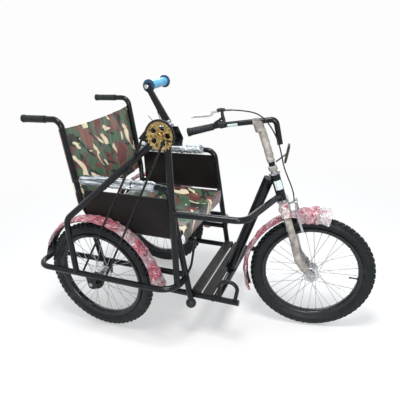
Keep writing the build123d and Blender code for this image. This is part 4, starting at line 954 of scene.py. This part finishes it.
# Hand crank: a forged arm in black enamel on a spindle, with a plated cap at its boss and at the
# grip's pin, a gilt nut on the sprocket's side, and a scrap of clear film left round its root.
dress(enamel, "crank_arm")
crank_centre, grip_centre = [np.array(joints[joint]["pos_m"]) * [1, 0, 1]
                             for joint in ("crank_spin", "crank_grip_spin")]
INNER_CAP = [(-247.2, 0), (-246.6, 7.5), (-245, 10.5), (-236, 11.5), (-235, 12.4), (-232, 12.4), (-231, 0)]
OUTER_CAP = [(-366, 0), (-366, 5), (-362, 5), (-362, 11), (-360.5, 12.5), (-356.5, 12.5), (-356.5, 0)]
PIN_CAP = [(-270, 0), (-269.5, 5), (-268, 7.4), (-262, 7.8), (-261, 9.5), (-259.5, 9.5), (-259, 0)]
ROOT_Y, ROOT_START, ROOT_END, ROOT_RADIUS = -0.257, -0.016, 0.034, 0.0162


def turned_part(centre, profile, sides=56, closed=False):
    """A turned part on an axis across the tricycle, its profile in millimetres from the middle plane."""
    return lathe(centre, LEFT, np.array(profile) / 1000, sides, closed)


build("crank_cap_inner", [turned_part(crank_centre, INNER_CAP), turned_part(grip_centre, PIN_CAP)], polished,
      "crank")
build("crank_cap_outer", [turned_part(crank_centre, OUTER_CAP)], gold, "crank")
root = (crank_centre + [0, ROOT_Y, 0]
        + unit(grip_centre - crank_centre) * np.linspace(ROOT_START, ROOT_END, 60)[:, None])
scrunch = ripples(np.linspace(0, 0.05, 60)[:, None], np.linspace(0, 0.1, 40)[None, :], 71, 14, (0.008, 0.03))
build("crank_root_film", [(sleeve(root, ROOT_RADIUS + 0.0010 * scrunch, flat=0.86), False, True)], film,
      "crank", sharp=70.0)

# Crank grip: a soft pale blue rubber barrel that turns on a pin through the arm's end, swollen in the
# middle and finely ringed, between two dark blue flanges and an end cap.
blue = speckled("blue_rubber", 0.34, 30.0, [(0.3, (0.055, 0.27, 0.47)), (0.7, (0.13, 0.45, 0.68))],
                grain=(260.0, 4.0, 0.0003, 0.5), coat=0.15)
dark_blue = speckled("dark_blue_rubber", 0.4, 60.0,
                     [(0.3, (0.006, 0.028, 0.075)), (0.7, (0.014, 0.065, 0.15))])
GRIP_START, GRIP_END, GRIP_BORE, FLANGE_WALL = -251.0, -117.0, 6.2, 6.0
FLANGE = np.array([(0, GRIP_BORE), (0, 20), (0.8, 22.4), (3, 23), (5.2, 22.4), (6, 20), (6, GRIP_BORE)])
END_CAP = [(GRIP_END, 0), (GRIP_END, 9), (GRIP_END + 3, 8), (GRIP_END + 4.5, 0)]
run = np.linspace(0, 1, 90)
swell = 14.6 + 0.9 * np.sin(np.pi * run) + 0.28 * np.sin(run * 40 * np.pi)
barrel = np.vstack([[(GRIP_START + 5, GRIP_BORE)],
                    np.stack([GRIP_START + 5 + run * (GRIP_END - GRIP_START - 10), swell], 1),
                    [(GRIP_END - 5, GRIP_BORE)]])
build("crank_grip_barrel", [turned_part(grip_centre, barrel, 48, True)], blue, "crank_grip",
      ["crank_grip"])
flanges = [turned_part(grip_centre, FLANGE + [at, 0], closed=True)
           for at in (GRIP_START, GRIP_END - FLANGE_WALL)]
build("crank_grip_flanges", [*flanges, turned_part(grip_centre, END_CAP)], dark_blue, "crank_grip",
      ["crank_grip"])


# Bracket ties: two nylon ties pulled round the bracket shell behind the sprocket, their tails left
# long and standing up out of it.
def smooth_line(points, count):
    """A Catmull-Rom line through the points: each stretch is a cubic set by its four nearest points."""
    points = np.asarray(points, float)
    padded = np.vstack([2 * points[0] - points[1], points, 2 * points[-1] - points[-2]])
    t = np.linspace(0, len(points) - 1, count)
    k = np.minimum(t.astype(int), len(points) - 2)
    f = (t - k)[:, None]
    a, b, c, d = padded[k], padded[k + 1], padded[k + 2], padded[k + 3]
    square, cube = (2 * a - 5 * b + 4 * c - d) * f ** 2, (3 * b - 3 * c + d - a) * f ** 3
    return 0.5 * (2 * b + (c - a) * f + square + cube)


BAND = np.array([(-2.2, 20.1), (-2.2, 21.6), (2.2, 21.6), (2.2, 20.1)]) / 1000
tails = []
# Each tie: how far its tail leans back in radians, where it lies across, and how far it reaches.
for lean, y_at, reach in ((-0.62, -331.5, 76.0), (-0.14, -327.0, 78.0)):
    out = np.array([np.sin(lean), 0.0, np.cos(lean)])
    foot = np.array([CRANK_X, y_at, CRANK_Z])
    bend = smooth_line([foot + out * 21, foot + out * 45 + [3, -2, 0], foot + out * reach + [-4, -1, 1]], 40)
    tails.append((placed(sleeve(bend, np.linspace(1.9, 1.1, 40)[:, None], 8, 0.5)), False, True))
    tails.append(lathe(placed(foot), LEFT, BAND, 48, True))
build("tie_tails", tails, tie_rubber, "frame")

# Fork wraps: the raked fork is plated steel, as its brake caliper is. It and the stem still wear beige
# foam sheet, wound on in a spiral, taped, and dented by handling, with the steel bare at its ends.
dress(plated, "fork", "brake_caliper")
foam, tree, shader, here = new_finish("beige_foam", 0.62, sheen=0.2, coat=0.1)
paint(tree, shader, noise(tree, here, 24.0, 5.0, EVEN, 0.6),
      [(0.28, (0.12, 0.105, 0.090)), (0.5, (0.27, 0.247, 0.220)), (0.72, (0.50, 0.47, 0.43))])
wrinkled(tree, shader, here, (70.0, 4.0, (1, 1, 0.6), 1.5, 0.003, 0.6), (240.0, 3.0, 0.0006, 0.5))
HEAD_FOOT = np.array([728.0, 0.0, 581.0])
RAKE, STEER_AT_REST = np.radians(17.6), np.radians(10.0)
HEAD_WAY = np.array([-np.sin(RAKE), 0.0, np.cos(RAKE)])
FOAM_LAP, LAP_STEP, DENT, BLADE_Y = 26.0, 1.1, 0.8, 50


def steered(points):
    """Points of the straight-ahead machine in millimetres, turned about the head to how it stands."""
    arm = np.asarray(points, float) - HEAD_FOOT
    along = (arm @ HEAD_WAY)[..., None] * HEAD_WAY
    turned = (arm * np.cos(STEER_AT_REST) + np.cross(HEAD_WAY, arm) * np.sin(STEER_AT_REST)
              + along * (1 - np.cos(STEER_AT_REST)))
    return placed(turned + HEAD_FOOT)


def steered_sleeve(line, radius, **how):
    """A sleeve on a line of the straight-ahead machine; a radius may change from end to end."""
    if np.ndim(radius) == 1:
        radius = radius[:, None]
    return steered(sleeve(line, radius, **how)), False, True


def wound(line, length, radius, seed, **how):
    """Foam wound on in a spiral: a step of a millimetre or so at each lap, and random dents."""
    run = np.linspace(0, 1, len(line))[:, None]
    turn = circle(40)[None, :]
    spiral = np.mod(run * length / FOAM_LAP + turn / (2 * np.pi), 1.0)
    dents = ripples(run * length / 1000, turn * radius / 1000, seed, 12, (0.02, 0.08))
    ends = np.clip(np.minimum(run, 1 - run) * length / 5, 0.25, 1) ** 0.5
    return steered_sleeve(line, (radius + LAP_STEP * spiral + DENT * dents) * ends, **how)


def up_head(low, high, count):
    """A straight line up the head's axis, by distances from its foot."""
    return HEAD_FOOT + HEAD_WAY * np.linspace(low, high, count)[:, None]


crown_x = (HEAD_FOOT - HEAD_WAY * 25.0 / HEAD_WAY[2])[0]
wraps = []
for side in (-1, 1):
    blade_y = side * BLADE_Y
    blade = smooth_line([(crown_x + 1, blade_y, 560), (773, blade_y, 450), (800, blade_y, 352),
                         (812, blade_y, 322), (846, blade_y, 281)], 170)
    wraps.append(wound(blade, 320.0, 14.4, 50 + side))
crown = smooth_line([(crown_x, -62, 556), (crown_x, -20, 557), (crown_x, 20, 557), (crown_x, 62, 556)], 60)
wraps += [wound(crown, 124.0, 18.5, 54, spare=UP), wound(up_head(160, 300, 150), 140.0, 15.0, 55),
          wound(up_head(124, 150, 40), 26.0, 17.5, 57)]
build("foam_wraps", wraps, foam, "steering", sharp=60.0)

# Fork crown: a bag of the printed film, gone milky, is knotted over the top of each blade. It is
# crumpled along its whole length, and its colours are pale and pink.
crown_print, tree, shader, here = new_finish("crown_film", 0.18, coat=0.5)
paint(tree, shader, noise(tree, here, 60.0, 4.0, EVEN, 1.5),
      [(0.38, (0.34, 0.05, 0.10)), (0.46, (0.46, 0.34, 0.35)), (0.6, (0.66, 0.63, 0.62))])
wrinkled(tree, shader, here, (90.0, 4.0, EVEN, 2.0, 0.003, 0.7))
KNOT_RADIUS, KNOT_LENGTH, KNOT_ROUND = 17.6, 0.06, 0.12
knots = []
for side in (-1, 1):
    top = smooth_line([(crown_x - 3, side * BLADE_Y, 578), (crown_x + 2, side * BLADE_Y, 556),
                       (crown_x + 12, side * BLADE_Y, 524)], 60)
    folds = ripples(np.linspace(0, KNOT_LENGTH, 60)[:, None], np.linspace(0, KNOT_ROUND, 40)[None, :],
                    64 + side, 14, (0.01, 0.04))
    knots.append(steered_sleeve(top, KNOT_RADIUS + folds))
build("crown_film", knots, crown_print, "steering", sharp=70.0)

# Stem: a quill of thin tube in black enamel that stands out of the upper cup. The clamp at its head,
# which holds the bar, is wrapped in foam from below and from behind.
CLAMP_SETBACK = [-7.0, 0.0, 0.0]
clamp = [wound(up_head(287, 336, 60) + CLAMP_SETBACK, 49.0, 18.6, 61),
         wound(np.linspace([599.0, 0, 893.8], [630.0, 0, 898.0], 40), 31.0, 14.6, 62)]
build("foam_clamp", clamp, foam, "steering", sharp=60.0)
QUILL = [(113, 0), (113, 12.6), (334, 12.6), (335, 12.0), (335, 0)]
build("stem_quill", [(steered(lathe(HEAD_FOOT, HEAD_WAY, QUILL, 40)[0]), False, True)], enamel, "steering",
      ["stem"])

# Tiller: one bent steel bar in black enamel, with a ribbed rubber grip pushed onto its rear end.
# The grip tapers forward and lies along the bar's slope.
dress(enamel, "tiller")
GRIP_FOOT, BAR_START = np.array([345.0, 0.0, 853.0]), np.array([470.0, 0.0, 881.0])
GRIP_LENGTH, GRIP_RADIUS, BAR_RADIUS, GRIP_TAPER = 107, 17.6, 11.2, 2.6
grip_way = unit(BAR_START - GRIP_FOOT)
grip_profile = ribbed_grip(GRIP_LENGTH, GRIP_RADIUS, BAR_RADIUS, 9, GRIP_TAPER)
grip = lathe(GRIP_FOOT - grip_way * 3, grip_way, grip_profile)[0]
build("tiller_grip_sleeve", [(steered(grip), False, True)], rubber, "steering",
      ["tiller_grip"])

# Brake lever: a cast black bracket clamped to the bar, its two legs meeting high over the grip;
# a bright lever blade hangs back from its pivot, and a knurled adjuster takes the cable in front.
bracket_paint = speckled("cast_black", 0.42, 80.0,
                         [(0.3, (0.007, 0.007, 0.008)), (0.8, (0.026, 0.026, 0.028))],
                         grain=(500.0, 4.0, 0.0002, 0.6), shine=0.3)
cast_silver = speckled("cast_silver", 0.32, 110.0, [(0.3, (0.50, 0.51, 0.52)), (0.7, (0.80, 0.81, 0.82))],
                       grain=(420.0, 4.0, 0.0002, 0.5), metallic=0.75)
# Each leg of the bracket: four places on the bar's plane as forward and up, and its two ends' radii.
LEGS = ((((489, 893), (488, 905), (484, 920), (482, 938)), 7.5, 6.0, 40),
        (((484, 912), (470, 900), (458, 893), (450, 884)), 5.0, 5.5, 40),
        (((494, 940), (484, 942), (474, 941), (464, 938)), 6.0, 8.0, 30))
bracket = [steered_sleeve(smooth_line([(x, 0, z) for x, z in places], count), np.linspace(start, end, count))
           for places, start, end, count in LEGS]
collar = 15.0 - 2.0 * (np.abs(np.linspace(-1, 1, 24)) > 0.85)
bracket.append(steered_sleeve(np.linspace([472.0, 0, 881.5], [497.0, 0, 887.0], 24), collar))
build("lever_bracket", bracket, bracket_paint, "steering", ["brake_lever"])

run = np.linspace(0, 1, 90)
BLADE_PLACES = ((462, 938), (448, 934), (440, 924), (420, 920), (390, 918), (360, 917))
blade = smooth_line([(x, 0, z) for x, z in BLADE_PLACES], 90)
blade_radius = 7.2 - 1.2 * run + 2.2 * np.exp(-((run - 1) / 0.035) ** 2)
knurl = 4.6 + 0.5 * np.sign(np.sin(np.linspace(0, 14 * np.pi, 40)))
adjuster = steered_sleeve(np.linspace([498.0, 0, 941], [520.0, -6, 942.0], 40), knurl)
build("lever_blade", [steered_sleeve(blade, blade_radius, flat=0.8), adjuster], cast_silver, "steering",
      ["brake_lever"])

# Brake cable: black sheathed cable from the adjuster, past the right of the stem and down to the
# caliper. Its points are places ahead of the head's foot, across and up, in millimetres.
sheath = speckled("cable_sheath", 0.4, 60.0, [(0.3, (0.008, 0.008, 0.009)), (0.8, (0.020, 0.020, 0.022))],
                  shine=0.3)
CABLE_ROUTE = [(-250, -3, 356), (-230, -10, 360), (-198, -16, 361), (-156, -20, 358), (-116, -21, 351),
               (-85, -21, 333), (-60, -21, 305), (-38, -21, 269), (-21, -20, 229), (-10, -20, 187),
               (0, -20, 143), (18, -20, 99), (36, -18, 57), (45, -14, 25), (48, -10, -1)]
CABLE_RADIUS = 0.0026
route = steered(np.array(CABLE_ROUTE, float) + HEAD_FOOT)
cable_line = bpy.data.curves.new("brake_cable_sheath", "CURVE")
cable_line.dimensions = "3D"
spline = cable_line.splines.new("NURBS")
spline.points.add(len(route) - 1)
spline.points.foreach_set("co", np.column_stack([route, np.ones(len(route))]).ravel())
spline.order_u = 3
spline.use_endpoint_u = True
cable_line.resolution_u = 12
cable_line.bevel_depth = CABLE_RADIUS
cable_line.bevel_resolution = 4
cable_line.use_fill_caps = True
cable_line.materials.append(sheath)
cable = bpy.data.objects.new("brake_cable_sheath", cable_line)
bpy.context.scene.collection.objects.link(cable)
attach(cable, "steering")
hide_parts("brake_cable")

# Reflector: an amber moulded lens in a black cup, on a strap from the stem, facing forward.
# The lens is a rounded oblong by a superellipse, crowned toward its middle, with fine prisms.
amber, tree, shader, here = new_finish("amber_lens", 0.12, coat=0.8)
prism = add(tree, "TexVoronoi", {"Vector": here, "Scale": 260.0, "Randomness": 0.0},
            feature="DISTANCE_TO_EDGE").outputs["Distance"]
paint(tree, shader, prism, [(0.0, (0.26, 0.10, 0.03)), (0.2, (0.62, 0.27, 0.07))])
bump(tree, shader, prism, 0.001, 0.6)
dress(bracket_paint, "reflector")
LENS_LEAN, LENS_AT = np.radians(10.0), np.array([10.0, 0.0, 191.0])
LENS_HALF_WIDE, LENS_HALF_HIGH = 24.0, 33.0
# Rows from the lens's back to its face: its share of the full size, and how far forward.
LENS_ROWS = ((0.0, 3.9), (0.85, 3.9), (1.0, 3.9), (1.0, 4.8), (0.96, 5.6), (0.7, 6.3), (0.0, 6.6))
lens_way = np.array([np.cos(LENS_LEAN), 0.0, -np.sin(LENS_LEAN)])
lens_up = np.array([np.sin(LENS_LEAN), 0.0, np.cos(LENS_LEAN)])
size, depth = np.array(LENS_ROWS).T
turn = circle(72)
shape = (np.abs(np.cos(turn)) ** 4 + np.abs(np.sin(turn)) ** 4) ** -0.25
rim_line = ((LENS_HALF_WIDE * np.cos(turn) * shape)[:, None] * np.array(LEFT)
            + (LENS_HALF_HIGH * np.sin(turn) * shape)[:, None] * lens_up)
lens = HEAD_FOOT + LENS_AT + depth[:, None, None] * lens_way + size[:, None, None] * rim_line
build("reflector_lens", [(steered(lens), False, True)], amber, "steering")

# Blank labels: pale stickers left plain, one round the front of the head tube and one on the bar.
# Each is a part of a cylinder just off its tube.
label = speckled("blank_label", 0.3, 50.0, [(0.3, (0.50, 0.60, 0.62)), (0.7, (0.72, 0.80, 0.81))], coat=0.3)
LABEL_WALL, LABEL_OFF, BAR_END = 0.0003, 0.4, np.array([690.0, 0.0, 904.0])


def sticker(foot, way, radius, low, high, turns):
    """A band at a radius about a tube, from low to high along it; its turn starts at the right side."""
    turn = np.radians(np.linspace(*turns, 24))[None, :, None]
    rise = np.linspace(low, high, 14)[:, None, None]
    right = np.array([0.0, -1.0, 0.0])
    return foot + rise * way + radius * (np.cos(turn) * right + np.sin(turn) * np.cross(way, right))


head_band = placed(sticker(HEAD_FOOT, HEAD_WAY, HEAD_TUBE + LABEL_OFF, 46, 86, (75, -25)))
bar_way = unit(BAR_END - BAR_START)
bar_band = steered(sticker(BAR_START, bar_way, BAR_RADIUS + LABEL_OFF / 2, 34, 74, (-10, 110)))
for name, band, body in (("head_label", head_band, "frame"), ("bar_label", bar_band, "steering")):
    thicken(build(name, [(band, False, False)], label, body), LABEL_WALL)
